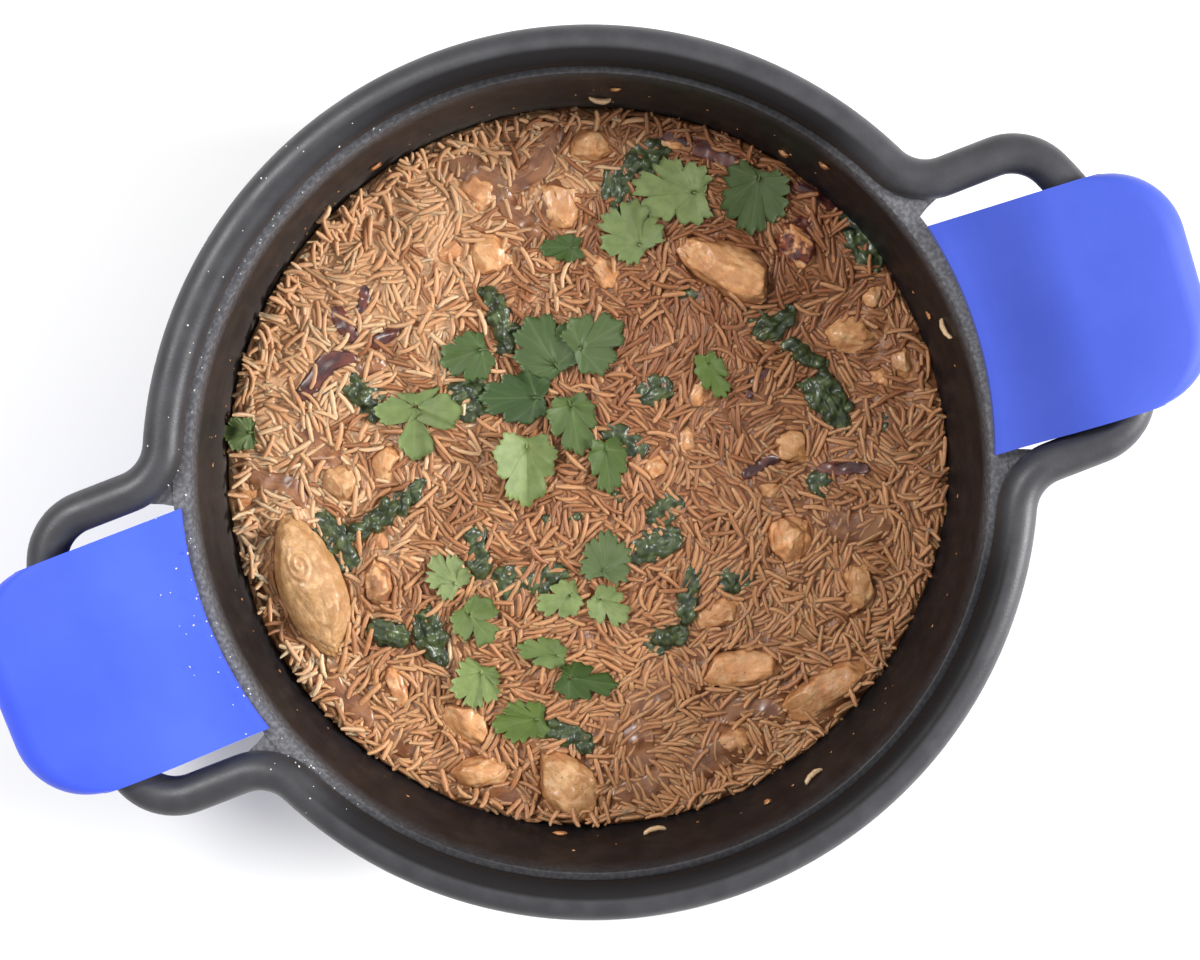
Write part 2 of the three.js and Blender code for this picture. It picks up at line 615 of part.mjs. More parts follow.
// Lays a thin solid on what is below it. Both faces have the same triangles, one thickness apart.
function sheet({ name, at: [x, y], turn, leans = false }, flat, faces, rim, thickness, wave, material) {
  const angle = THREE.MathUtils.degToRad(turn);
  const corners = flat.map(([along, across], i) => {
    const worldX = x + along * Math.cos(angle) - across * Math.sin(angle);
    const worldY = y + along * Math.sin(angle) + across * Math.cos(angle);
    const past = leans ? Math.max(Math.hypot(worldX, worldY) - WALL_CLIMB.from, 0) : 0;
    const rest = Math.max(laid.highest(worldX, worldY, CORNER_REACH), PILAF_LEVEL);
    return new THREE.Vector3(worldX, worldY, rest + GAP + wave(i) + past * WALL_CLIMB.slope);
  });
  for (let pass = 0; pass < SETTLING_PASSES; pass += 1) {
    faces.forEach((face) => laid.lift(...face.map((corner) => corners[corner])));
  }
  const base = Math.min(...corners.map((corner) => corner.z));
  const lower = flat.map(([along, across], i) => [along, across, corners[i].z - base]);
  const upper = lower.map(([along, across, z]) => [along, across, z + thickness]);
  const lifted = (corner) => corner + flat.length;
  const triangles = [...flipped(faces), ...faces.map((face) => face.map(lifted)), ...stitch(rim, rim.map(lifted))];
  const mesh = new THREE.Mesh(fromCorners([...lower, ...upper], triangles), material);
  mesh.name = name;
  mesh.position.set(x, y, base);
  mesh.rotation.z = angle;
  laid.add(mesh);
  return mesh;
}

function leafMesh(leaf, index) {
  const draw = random(300 + index);
  const outline = leafOutline(leaf);
  const flat = [[0, 0], ...outline.map(([x, y]) => [0.5 * leaf.size[0] * x, 0.5 * leaf.size[1] * y])];
  const rim = outline.map((_, i) => i + 1);
  const waves = flat.map(() => LEAF_WAVE * draw());
  return sheet(leaf, flat, fan(0, rim), rim, LEAF_THICKNESS, (i) => waves[i], corianderMaterial());
}

function onionMesh(strip) {
  const [length, width] = strip.size;
  const steps = 8;
  const bend = THREE.MathUtils.degToRad(strip.bend);
  const bow = length / bend;
  const flat = [];
  for (const side of [-1, 1]) {
    for (let i = 0; i <= steps; i += 1) {
      const angle = bend * (i / steps - 0.5);
      const half = 0.5 * width * Math.sqrt(1 - (0.9 * (2 * i / steps - 1)) ** 2);
      flat.push([(bow + side * half) * Math.sin(angle), (bow + side * half) * Math.cos(angle) - bow]);
    }
  }
  const faces = [];
  for (let i = 0; i < steps; i += 1) {
    const [a, b, c, d] = [i, i + 1, i + steps + 2, i + steps + 1];
    faces.push([a, b, d], [b, c, d]);
  }
  const firstSide = Array.from({ length: steps + 1 }, (_, i) => i);
  const secondSide = firstSide.map((i) => 2 * steps + 1 - i);
  const rim = [...firstSide, ...secondSide];
  const wave = (i) => 0.5 + 0.5 * Math.sin(1.7 * i);
  return sheet(strip, flat, faces, rim, ONION_THICKNESS, wave, onionMaterial());
}

// ---------------------------------------------------------------- materials

function finish(color, roughness) {
  return new THREE.MeshStandardMaterial({ color, roughness, metalness: 0 });
}

const coatedMetalMaterial = () => finish(0x33323a, 0.45);
const siliconeMaterial = () => finish(0x4d6ff0, 0.55);
const pilafMaterial = () => finish(0xc98f5e, 0.7);
const chickenMaterial = () => finish(0xd09a64, 0.55);
const greensMaterial = () => finish(0x26331f, 0.35);
const corianderMaterial = () => finish(0x5b8a45, 0.6);
const onionMaterial = () => finish(0xa97450, 0.4);

// ---------------------------------------------------------------- assembly

function named(name, geometry, material) {
  const mesh = new THREE.Mesh(geometry, material);
  mesh.name = name;
  return mesh;
}

// A handle's own group: its +X is the handle's u.
function coveredHandle(name, side, { at: [u, v], turn }) {
  const seat = new THREE.Group();
  seat.position.set(u, v, 0);
  seat.rotation.z = THREE.MathUtils.degToRad(turn);
  const cover = named(name, handleCover(), siliconeMaterial());
  cover.position.set(-u, 0, 0);
  seat.add(cover);
  const handle = new THREE.Group();
  handle.rotation.z = side === 'right' ? 0 : Math.PI;
  handle.add(seat);
  return handle;
}

const group = new THREE.Group();
group.add(named('casserole', casserole(), coatedMetalMaterial()));
group.add(coveredHandle('handle_cover_right', 'right', RIGHT_COVER));
group.add(coveredHandle('handle_cover_left', 'left', LEFT_COVER));

const sunk = [...CHICKEN.map(chickenMesh), ...GREENS.map(greenMesh)];
const rice = named('pilaf', pilaf(), pilafMaterial());
[rice, ...sunk].forEach((mesh) => laid.add(mesh));
const onTop = [...ONION.map(onionMesh), ...CORIANDER.map(leafMesh)];
group.add(rice, ...sunk, ...onTop);

export default group;
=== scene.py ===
"""A cast cooking pot of chicken pilaf, with blue silicone covers folded over its handles.

Lengths are in millimetres, and turn into metres where a mesh is made. The origin is the middle of the
pot's base, +X runs out through the right handle and +Z is up. Angles in the tables are in degrees.
"""

import math

import bpy
import numpy as np
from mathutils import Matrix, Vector, noise
from mathutils.bvhtree import BVHTree


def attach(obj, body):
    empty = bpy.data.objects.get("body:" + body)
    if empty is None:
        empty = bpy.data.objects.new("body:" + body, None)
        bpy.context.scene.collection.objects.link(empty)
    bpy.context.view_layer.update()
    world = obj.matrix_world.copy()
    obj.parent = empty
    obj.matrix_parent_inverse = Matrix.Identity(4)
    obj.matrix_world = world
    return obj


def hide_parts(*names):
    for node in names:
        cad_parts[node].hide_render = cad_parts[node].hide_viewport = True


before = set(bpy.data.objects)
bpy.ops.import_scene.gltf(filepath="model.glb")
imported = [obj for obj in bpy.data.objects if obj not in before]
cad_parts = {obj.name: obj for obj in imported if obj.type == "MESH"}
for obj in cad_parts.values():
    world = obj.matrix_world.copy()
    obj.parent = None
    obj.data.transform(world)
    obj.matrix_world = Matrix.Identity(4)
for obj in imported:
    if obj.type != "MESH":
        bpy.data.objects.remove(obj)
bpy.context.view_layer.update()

MM = 0.001

# ---------------------------------------------------------------- driving dimensions

# Pot: a turned body with a flat lip. Every mm of height, the wall leans out by WALL_DRAFT.
LIP_RADIUS = 140
LIP_WIDTH = 6.3
LIP_HEIGHT = 105.5
LIP_THICKNESS = 4
LIP_CHAMFER = 1
WALL_DRAFT = 0.082
WALL_THICKNESS = 5
FLOOR_THICKNESS = 6
INNER_CORNER = 20
BASE_RADIUS = 118

# Rolled rim, which runs out and round each handle as one bar.
ROLL_RADIUS = 7
ROLL_HEIGHT = 108
RIM_RADIUS = 149.4
ARM_OFFSET = 53.1
ARM_END = 170
BEND_RADIUS = 19
CORNER_TURN = math.radians(65)
WEB_OUTLINE = [(134, 53), (138, 42), (143, 45), (149, 47.5), (149, 52)]

# Handle covers: a thick sheet folded round the bar. The right one sits a little askew.
COVER_HALF_WIDTH = 41.5
COVER_REACH = 222
COVER_CORNER = 26
COVER_THICKNESS = 3.2
FOLD_RADIUS = 7.5
TOP_LEAF_RADIUS = 143.5
LOWER_LEAF_RADIUS = 152
LEAF_KNEE = 178
FOLD_CLEARANCE = 1  # between the bar and the fold
LEAF_CLEARANCE = 0.5  # between the upper leaf's end and the lip
LOWER_LEAF_SAG = 0.8
SHORTEST_FLAT = 2  # of the upper leaf, between its knee and the fold
COVER_ROUNDING = 1.1
COVER_SEATS = {
    "handle_cover_right": {"side": 0, "at": (145, -3), "turn": -4.2},
    "handle_cover_left": {"side": 180, "at": (145, 0), "turn": 0},
}

# Rice: cooked long grains, most of them lying flat, over a core of what is below.
GRAIN_LENGTH = (9.2, 12.2)
GRAIN_WIDTH = (1.65, 2.15)
GRAIN_BOW = 0.9
GRAIN_FLATNESS = 0.85  # a grain's height, as a share of its width
GRAIN_BLUNTNESS = 8  # the power by which a grain closes at its ends
GRAIN_TRIES = 30000
GRAIN_SINK = 0.9  # how far each grain settles into what it lies on
CORE_DEPTH = 1.9  # of the bed that the first grains are laid on, below the rice's level
MUSH_DEPTH = 1.25  # of the core's top, below a skin drawn over the laid grains
BUNDLE_SIZE = 10
BUNDLE_RISE = 1.1
BANK_SHARE = 0.32  # of the height of other food, up to which the rice is banked against it
PALE_DIRECTION = math.radians(129)
LIGHT_DIRECTION = math.radians(-92)
FOOD_REACH = 136

# Toppings: how deep the onion has sunk into the grains, how far out a knife has cut a piece of chicken, as
# a share of its reach, and how thick the sheets are.
ONION_SINK = 0.8
ONION_THICKNESS = 0.9
CORIANDER_THICKNESS = 0.35
STALK_RADIUS = 0.55
CUT_SHARE = 0.7

# What is too small to be a node, each (x, y, length, width, turn).
CHICKEN_BITS = [
    (-83, 4, 13.6, 6.8, -106), (-125, 38, 17, 13, 0), (-131, -10, 45, 9, -82), (114.5, -7, 10.5, 9, 0),
    (15.8, 79.8, 11, 9, 0), (32, 67, 18.6, 12, -71), (94, -35, 10, 6.7, 0), (73, 101.6, 16, 7, -26),
    (57, 83, 13, 10, 0), (123, 22, 10.5, 9, 40), (23, -7.5, 12, 9, 0), (-1, 113, 22, 14, -51),
    (48, 12, 16, 9, 30), (38, -2, 12, 8, 60), (60, -30, 13, 8, -20), (-20, 95, 15, 9, 15),
]
GREEN_BITS = [
    (58, 98.5, 27, 16, 24), (46.6, 92, 22.5, 12, -101), (-10.6, 56, 18.5, 11, 0), (-33, 41, 20.5, 16, 0),
    (-99, 10, 27, 11, -81), (-51, -13.5, 23, 10, -106), (-44, -28, 16.5, 12.5, 0), (-30, -32, 18.5, 11, 0),
    (33, 19, 14.5, 12.5, 0), (20.6, -24, 16, 11, 20), (16, 6, 20, 9.5, -51), (79.6, -36, 12, 11, 0),
    (36.7, -58.5, 16, 12.5, 0), (18.5, -55.5, 28, 9, 59), (125, 43, 27, 11, -76), (-46, -89, 28, 10, -46),
    (58.5, 48.5, 11, 6, 0), (12, -35, 23, 12, 0), (-12, -14, 7.5, 4, 40), (5, -12, 6, 4, 100),
    (110, -24, 7.5, 4, 60), (-22, -12, 6, 4, 10),
]
ONION_BITS = [
    (25.5, 118, 41, 10, 34), (1, 118, 26, 12, -51), (-61, 66, 15, 7, 0), (-26, -119.6, 23, 10, 0),
    (-79, -103, 30, 9, -21), (4, -119, 23, 12, 0), (87, -56, 26, 12, -31), (-10.5, -89, 19, 9, 9),
    (-20, -103.6, 19, 12, -81), (54, -120, 26, 8, 19), (24, -108.6, 26, 9, -21), (-132, 9, 30, 8, -87),
    (-92, 46, 22, 11, -81), (10, 100, 30, 8, -75), (-134.1, -9.4, 23, 9.1, -90),
    (-128.6, -30.2, 19, 8.3, -77), (-107.2, -68.7, 24, 8.3, -49), (19.9, 98.5, 22, 7.4, 39),
    (-119.2, 46.3, 16, 7.5, -82), (-29.4, -95.9, 17, 6.8, 49), (111.8, -27.1, 15, 6.8, -96),
]
PURPLE_BITS = [
    (-79.9, 69.3, 28, 8, 20), (-66, 84, 15, 6, -81), (-54, 74, 15, 5, 9), (-56, 90, 11, 4, 58),
    (-132, 21.5, 15, 4, -77), (60, -22, 16, 4.5, 10), (70, 8, 14, 4, 35), (89, -34, 20, 5, -21),
    (86.4, 93, 19, 8, -36), (116.7, 64.6, 25, 4.5, -49), (108, 56, 10, 4, -71), (76, 103, 16, 4, -30),
]

# Loose grains and crumbs that stick to the wall, each (angle round the pot, height).
WALL_GRAINS = [(114.9, 67.4), (1.1, 86.5), (-74.8, 81.6), (-101.1, 67.1), (67.4, 69.2)]
WALL_CRUMBS = [
    (103.9, 70), (37.5, 67.4), (31.7, 87.3), (3.7, 69.9), (-82.9, 77.2), (-116, 64.3), (65.2, 84.7),
]

# The painted light on the wall, a pale band, is strongest in this direction, and fades out between these
# heights.
PAINTED_WALL_LIGHT_DIRECTION = (-0.485, 0.875)
PAINTED_WALL_LIGHT_HEIGHT = (56, 69)

# The camera that looks down on the pot.
CAMERA_PLACE = (14.9, 30.9, 807.2)
CAMERA_TURN = (-2.8815, -0.0541, -21.1767)
CAMERA_LENS = 60.18

random = np.random.default_rng(2026)


# ---------------------------------------------------------------- meshes

def grid_faces(rows, columns, close_rows=False, close_columns=False):
    """Triangles between neighbours in a grid of points that are counted row by row."""
    i, j = np.meshgrid(
        np.arange(rows if close_rows else rows - 1),
        np.arange(columns if close_columns else columns - 1),
        indexing="ij",
    )
    below, beside = (i + 1) % rows, (j + 1) % columns
    a, b = i * columns + j, below * columns + j
    c, d = below * columns + beside, i * columns + beside
    return np.concatenate([np.stack(t, -1).reshape(-1, 3) for t in ((a, b, c), (a, c, d))])


def fan_faces(centre, loop):
    """Triangles from one point to a closed loop of points."""
    return np.stack([np.full(len(loop), centre), loop, np.roll(loop, -1)], -1)


def capped_faces(rows, steps):
    """Triangles of a closed tube. The points of its two ends come after its rows of points."""
    last = rows * steps
    loop = np.arange(steps)
    return np.vstack([
        grid_faces(rows, steps, close_columns=True)[:, ::-1],
        fan_faces(last, loop)[:, ::-1],
        fan_faces(last + 1, last - steps + loop),
    ])


def new_object(name, points, faces):
    """An object from points in millimetres and triangles."""
    faces = np.asarray(faces, np.int32)
    mesh = bpy.data.meshes.new(name)
    mesh.vertices.add(len(points))
    mesh.vertices.foreach_set("co", (np.asarray(points) * MM).astype(np.float32).ravel())
    mesh.loops.add(faces.size)
    mesh.loops.foreach_set("vertex_index", faces.ravel())
    mesh.polygons.add(len(faces))
    mesh.polygons.foreach_set("loop_start", np.arange(0, faces.size, 3, dtype=np.int32))
    mesh.update(calc_edges=True)
    mesh.validate()
    mesh.shade_smooth()
    obj = bpy.data.objects.new(name, mesh)
    bpy.context.collection.objects.link(obj)
    return obj


def points_of(obj):
    """An object's points in millimetres."""
    points = np.empty(3 * len(obj.data.vertices), np.float32)
    obj.data.vertices.foreach_get("co", points)
    return points.reshape(-1, 3) / MM


def triangles_of(obj):
    """The point numbers of each of an object's triangles."""
    obj.data.calc_loop_triangles()
    corners = np.empty(3 * len(obj.data.loop_triangles), np.int32)
    obj.data.loop_triangles.foreach_get("vertices", corners)
    return corners.reshape(-1, 3)


def normals_of(obj):
    normals = np.empty(3 * len(obj.data.vertices), np.float32)
    obj.data.vertex_normals.foreach_get("vector", normals)
    return normals.reshape(-1, 3)


def move_points(obj, points):
    obj.data.vertices.foreach_set("co", (points * MM).astype(np.float32).ravel())
    obj.data.update()


def note(obj, name, values):
    """Keeps a number for each point, which the finishes read."""
    obj.data.attributes.new(name, "FLOAT", "POINT").data.foreach_set("value", values.astype(np.float32))


def note_vector(obj, name, vectors):
    data = obj.data.attributes.new(name, "FLOAT_VECTOR", "POINT").data
    data.foreach_set("vector", vectors.astype(np.float32).ravel())


def apply_modifiers(obj):
    graph = bpy.context.evaluated_depsgraph_get()
    mesh = bpy.data.meshes.new_from_object(obj.evaluated_get(graph))
    obj.modifiers.clear()
    obj.data = mesh


def united(parts):
    """Joins closed solids into the first of them."""
    whole = parts[0]
    for part in parts[1:]:
        join = whole.modifiers.new("join", "BOOLEAN")
        join.operation = "UNION"
        join.solver = "MANIFOLD"
        join.object = part
        apply_modifiers(whole)
        bpy.data.objects.remove(part)
    return whole


def crisp(obj, degrees):
    """Smooth shading, with a crease where faces meet at more than this."""
    obj.data.shade_smooth()
    obj.data.set_sharp_from_angle(angle=math.radians(degrees))


def place_piece(obj, finish, nodes=()):
    """Gives a piece its finish and puts it in the part, in place of the nodes that it stands for."""
    obj.data.materials.clear()
    obj.data.materials.append(finish)
    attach(obj, "root")
    if nodes:
        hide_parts(*nodes)
    return obj


def arc(centre, radius, start, end, steps):
    """Points on an arc in the plane, both ends included."""
    angles = np.linspace(start, end, steps + 1)
    return [(centre[0] + radius * math.cos(a), centre[1] + radius * math.sin(a)) for a in angles]


def turned(x, y, degrees):
    """A point turned about the origin."""
    c, s = math.cos(math.radians(degrees)), math.sin(math.radians(degrees))
    return x * c - y * s, x * s + y * c


def smooth_step(low, high, value):
    share = np.clip((value - low) / (high - low), 0, 1)
    return share * share * (3 - 2 * share)


# ---------------------------------------------------------------- finishes

class Finish:
    """A material's node tree, with short calls for the nodes that the finishes below use."""

    def __init__(self, name, **sockets):
        self.material = bpy.data.materials.new(name)
        self.material.use_nodes = True
        self.tree = self.material.node_tree
        self.shader = self.tree.nodes["Principled BSDF"]
        for socket, value in sockets.items():
            self.shader.inputs[socket.replace("_", " ")].default_value = value

    def node(self, kind, inputs, **settings):
        """Adds a node. An input is a value, or the output of another node."""
        node = self.tree.nodes.new("ShaderNode" + kind)
        for name, value in settings.items():
            setattr(node, name, value)
        for name, value in inputs.items():
            if isinstance(value, bpy.types.NodeSocket):
                self.tree.links.new(value, node.inputs[name])
            else:
                node.inputs[name].default_value = value
        return node

    def place(self, stretch=(1, 1, 1), attribute=None):
        """Where a point is, in metres in the part's frame, or in the piece's own noted coordinates."""
        if attribute:
            start = self.node("Attribute", {}, attribute_name=attribute).outputs["Vector"]
        else:
            start = self.node("TexCoord", {}).outputs["Object"]
        return self.node("Mapping", {"Vector": start, "Scale": stretch}).outputs["Vector"]

    def noise(self, size, detail=3, roughness=0.55, where=None):
        """Noise whose features are about that many millimetres across."""
        scale = 1 / (size * MM)
        inputs = {"Vector": where or self.place(), "Scale": scale, "Detail": detail, "Roughness": roughness}
        return self.node("TexNoise", inputs).outputs["Fac"]

    def band(self, value, low, high, to_low=0.0, to_high=1.0):
        """A value between low and high, spread over another range."""
        inputs = {"Value": value, "From Min": low, "From Max": high, "To Min": to_low, "To Max": to_high}
        return self.node("MapRange", inputs, interpolation_type="SMOOTHSTEP").outputs["Result"]

    def number(self, name):
        return self.node("Attribute", {}, attribute_name=name).outputs["Fac"]

    def sum(self, kind, a, b):
        return self.node("Math", {0: a, 1: b}, operation=kind).outputs[0]

    def mix(self, share, a, b):
        return self.node("MixRGB", {"Fac": share, "Color1": a, "Color2": b}).outputs["Color"]

    def put(self, socket, value):
        self.tree.links.new(value, self.shader.inputs[socket])

    def colour(self, value):
        self.put("Base Color", value)

    def bump(self, height, depth, strength=1.0):
        """Relief of that many millimetres."""
        inputs = {"Height": height, "Distance": depth * MM, "Strength": strength}
        self.put("Normal", self.node("Bump", inputs).outputs["Normal"])


def rgb(red, green, blue):
    """A colour as it looks on a screen, 0 to 255, as the linear colour that a shader takes."""
    linear = [((c / 255 + 0.055) / 1.055) ** 2.4 if c > 10 else c / 255 / 12.92 for c in (red, green, blue)]
    return (*linear, 1)


def coating_finish():
    """Dark satin coating of a cast pot: brownish black inside, grey outside, and rubbed on the lip. Its
    colour also holds painted light, paler low on one side of the wall and on the lip's far left, and painted
    shade, darker on the roll's inner half.
    """
    f = Finish("dark_coating")
    inside = f.number("inside")
    mottle = f.noise(9, detail=5)
    outer = f.mix(f.band(mottle, 0.35, 0.7), rgb(50, 50, 54), rgb(60, 60, 64))
    inner = f.mix(f.band(mottle, 0.35, 0.7), rgb(27, 25, 27), rgb(38, 35, 37))
    # The roll's inner half is painted darker: painted shade.
    outer_with_painted_shade = f.mix(f.number("roll_painted_shade"), outer, rgb(33, 31, 32))
    # The rubbed lip is painted a paler grey: real wear by the handles, and painted light on the far left.
    worn_and_lit = f.mix(f.band(f.noise(1.6, detail=4), 0.4, 0.65), rgb(82, 82, 86), rgb(112, 112, 116))
    # A paler colour low on one side of the inner wall: painted light.
    body = f.mix(f.number("painted_wall_light"), f.mix(inside, outer_with_painted_shade, inner), rgb(104, 95, 88))
    f.colour(f.mix(f.number("lip"), body, worn_and_lit))
    dull = f.sum("MAXIMUM", inside, f.number("roll_painted_shade"))
    f.put("Specular IOR Level", f.band(dull, 0, 1, 0.55, 0.1))
    streaks = f.noise(14, detail=6, roughness=0.7)
    f.put("Roughness", f.band(streaks, 0.3, 0.75, 0.38, 0.5))
    f.bump(f.noise(0.9, detail=2), 0.06)
    return f.material


def silicone_finish(name, colour, shade):
    """Matt moulded silicone, with a faint bloom and a very fine grain."""
    f = Finish(name, Roughness=0.6, Specular_IOR_Level=0.35, Sheen_Weight=0.15, Sheen_Roughness=0.4)
    f.colour(f.mix(f.band(f.noise(38, detail=4), 0.3, 0.7), colour, shade))
    f.bump(f.noise(0.6, detail=2), 0.03)
    return f.material


def rice_finish(name, dark, light, stain):
    """Soft cooked grains, each with its own shade, stained by the sauce in patches."""
    f = Finish(
        name, Roughness=0.42, Specular_IOR_Level=0.38, Coat_Weight=0.06, Coat_Roughness=0.25,
        Subsurface_Weight=0.8, Subsurface_Scale=0.0025, Subsurface_Radius=(1.0, 0.8, 0.6),
    )
    grain = f.mix(f.band(f.number("tone"), -0.5, 1.3), f.mix(0.35, dark, stain), light)
    patches = f.band(f.noise(16, detail=4), 0.48, 0.72, 0.0, 0.5)
    streak = f.band(f.noise(1.6, detail=3), 0.4, 0.75, 0.0, 0.35)
    f.colour(f.mix(f.sum("MAXIMUM", patches, streak), grain, stain))
    f.bump(f.noise(0.8, detail=2), 0.08)
    return f.material


def core_finish():
    """What shows between the grains: rice in wet sauce, dark except on the pale side."""
    f = Finish("sauce_between_grains", Roughness=0.3, Specular_IOR_Level=0.5)
    sauce = f.mix(f.band(f.noise(4, detail=4), 0.35, 0.7), rgb(112, 68, 42), rgb(162, 110, 72))
    f.colour(f.mix(f.number("pale"), sauce, rgb(200, 155, 115)))
    f.bump(f.noise(1.8, detail=4), 0.6)
    return f.material


def chicken_finish():
    """Braised chicken: creamy to orange meat, darker at its steep sides with sauce stain and painted shade,
    with paler patches of painted highlight, glazed, browned in spots and peppered.
    """
    f = Finish(
        "braised_chicken", Coat_Weight=0.28, Coat_Roughness=0.16,
        Subsurface_Weight=0.3, Subsurface_Scale=0.002, Subsurface_Radius=(1.0, 0.5, 0.3),
    )
    own = f.place(attribute="own_place", stretch=(0.3, 1, 1))
    fibre = f.noise(1.1, detail=3, where=own)
    patches = f.band(f.noise(7, detail=4), 0.35, 0.7)
    pale = f.mix(patches, rgb(197, 154, 107), rgb(182, 138, 86))
    orange = f.mix(patches, rgb(242, 174, 116), rgb(226, 153, 94))
    meat = f.mix(f.number("warm"), pale, orange)
    # Paler cream patches, scattered at random: painted highlights.
    meat = f.mix(f.band(f.noise(4.5, detail=4), 0.48, 0.66, 0, 0.6), meat, rgb(236, 194, 144))
    meat = f.mix(f.band(fibre, 0.45, 0.75, 0, 0.2), meat, rgb(164, 108, 68))
    # Steep sides are darker: part sauce stain, part painted shade.
    meat = f.mix(f.band(f.number("side"), 0, 1, 0, 0.75), meat, rgb(160, 102, 60))
    glazed = f.mix(f.band(f.noise(11, detail=5), 0.54, 0.72, 0, 0.5), meat, rgb(176, 114, 70))
    charred = f.mix(f.band(f.noise(2.2, detail=4), 0.4, 0.6), rgb(130, 62, 38), rgb(74, 32, 30))
    browned = f.sum("MULTIPLY", f.number("browned"), f.band(f.noise(5, detail=4), 0.38, 0.54))
    pepper = f.band(f.noise(1.0, detail=1), 0.72, 0.78, 0, 0.8)
    f.colour(f.mix(pepper, f.mix(browned, glazed, charred), rgb(92, 54, 38)))
    f.put("Roughness", f.band(f.noise(3, detail=3), 0.35, 0.65, 0.4, 0.6))
    f.bump(f.sum("ADD", fibre, f.noise(1.3, detail=3)), 0.3)
    return f.material


def greens_finish():
    """Wilted leaves: very dark green, wet, with paler patches."""
    f = Finish("wilted_greens", Roughness=0.4, Specular_IOR_Level=0.45, Coat_Weight=0.3, Coat_Roughness=0.1)
    patches = f.band(f.noise(3.6, detail=4), 0.38, 0.7)
    f.colour(f.mix(patches, rgb(43, 53, 32), rgb(82, 95, 55)))
    f.bump(f.noise(1.6, detail=3), 0.25)
    return f.material


def coriander_finish():
    """Fresh coriander: soft matt green, each leaf with its own shade, and faintly lighter veins."""
    f = Finish(
        "coriander", Roughness=0.5, Specular_IOR_Level=0.3,
        Subsurface_Weight=0.15, Subsurface_Scale=0.0008, Subsurface_Radius=(0.5, 1.0, 0.3),
    )
    dull = f.mix(f.number("tone"), rgb(54, 73, 41), rgb(132, 145, 97))
    bright = f.mix(f.number("tone"), rgb(54, 75, 24), rgb(128, 149, 70))
    shade = f.mix(f.number("fresh"), dull, bright)
    mottled = f.mix(f.band(f.noise(4, detail=4), 0.35, 0.7, 0.0, 0.3), shade, rgb(58, 86, 40))
    f.colour(f.mix(f.sum("MULTIPLY", f.number("vein"), 0.12), mottled, rgb(150, 168, 112)))
    f.bump(f.noise(0.7, detail=2), 0.05)
    return f.material


def onion_finish(name, thin, thick):
    """Softened onion: glassy strips with fine lines along them."""
    f = Finish(
        name, Roughness=0.36, Coat_Weight=0.4, Coat_Roughness=0.2,
        Subsurface_Weight=0.4, Subsurface_Scale=0.003, Subsurface_Radius=(1.0, 0.5, 0.25),
    )
    lines = f.noise(0.9, detail=3, where=f.place(attribute="own_place", stretch=(0.08, 1, 1)))
    patches = f.noise(6, detail=4)
    f.colour(f.mix(f.band(f.sum("ADD", f.sum("MULTIPLY", lines, 0.5), patches), 0.6, 0.9), thin, thick))
    f.bump(lines, 0.06)
    return f.material


def fat_finish():
    f = Finish("specks_of_fat", Roughness=0.25, Subsurface_Weight=0.2, Subsurface_Scale=0.001)
    f.colour(f.mix(f.noise(1.5), rgb(205, 200, 190), rgb(240, 238, 230)))
    return f.material


def floor_finish():
    f = Finish("pale_floor", Roughness=0.6)
    f.colour(f.mix(f.noise(300, detail=2), rgb(243, 243, 243), rgb(248, 248, 248)))
    return f.material


# ---------------------------------------------------------------- pot

def wall_radius(height):
    """The inside of the pot's wall."""
    return LIP_RADIUS - WALL_DRAFT * (LIP_HEIGHT - height)


def turned_body():
    """The pot's body: its profile from the middle of the base, round the outside and in to the floor."""
    outer_corner = wall_radius(0) + WALL_THICKNESS - BASE_RADIUS
    corner_height = FLOOR_THICKNESS + INNER_CORNER
    inner_corner = (wall_radius(corner_height) - INNER_CORNER, corner_height)
    lip_outer = LIP_RADIUS + LIP_WIDTH
    under_lip = LIP_HEIGHT - LIP_THICKNESS
    wall_top = wall_radius(under_lip) + WALL_THICKNESS
    profile = [
        (0, 0),
        *[(BASE_RADIUS * share, 0) for share in (0.4, 0.8, 0.97)],
        *arc((BASE_RADIUS, outer_corner), outer_corner, -math.pi / 2, 0, 14),
        *[(wall_radius(z) + WALL_THICKNESS, z) for z in (40, 60, 80, 95)],
        (wall_top, under_lip - 1.5),
        (wall_top + 0.6, under_lip - 0.4),
        (lip_outer, under_lip),
        (lip_outer, LIP_HEIGHT),
        (LIP_RADIUS + LIP_CHAMFER, LIP_HEIGHT),
        (LIP_RADIUS + 0.3 * LIP_CHAMFER, LIP_HEIGHT - 0.3 * LIP_CHAMFER),
        (LIP_RADIUS, LIP_HEIGHT - LIP_CHAMFER),
        *[(wall_radius(z), z) for z in (95, 80, 65, 50, 38)],
        *arc(inner_corner, INNER_CORNER, 0, -math.pi / 2, 12),
        *[(inner_corner[0] * share, FLOOR_THICKNESS) for share in (0.6, 0.2)],
        (0, FLOOR_THICKNESS),
    ]
    steps = 240
    turns = np.arange(steps) / steps * 2 * math.pi
    middle = np.array(profile[1:-1])
    points = np.stack([
        middle[:, :1] * np.cos(turns),
        middle[:, :1] * np.sin(turns),
        np.repeat(middle[:, 1:], steps, axis=1),
    ], -1).reshape(-1, 3)
    points = np.vstack([points, [(0, 0, profile[0][1]), (0, 0, profile[-1][1])]])
    return new_object("pot_body", points, capped_faces(len(middle), steps))


BAR_START = (
    ARM_END + BEND_RADIUS * math.sin(CORNER_TURN),
    ARM_OFFSET - BEND_RADIUS + BEND_RADIUS * math.cos(CORNER_TURN),
)
BAR_BOW = BAR_START[1] / math.cos(CORNER_TURN)
BAR_CENTRE = BAR_START[0] - BAR_BOW * math.sin(CORNER_TURN)


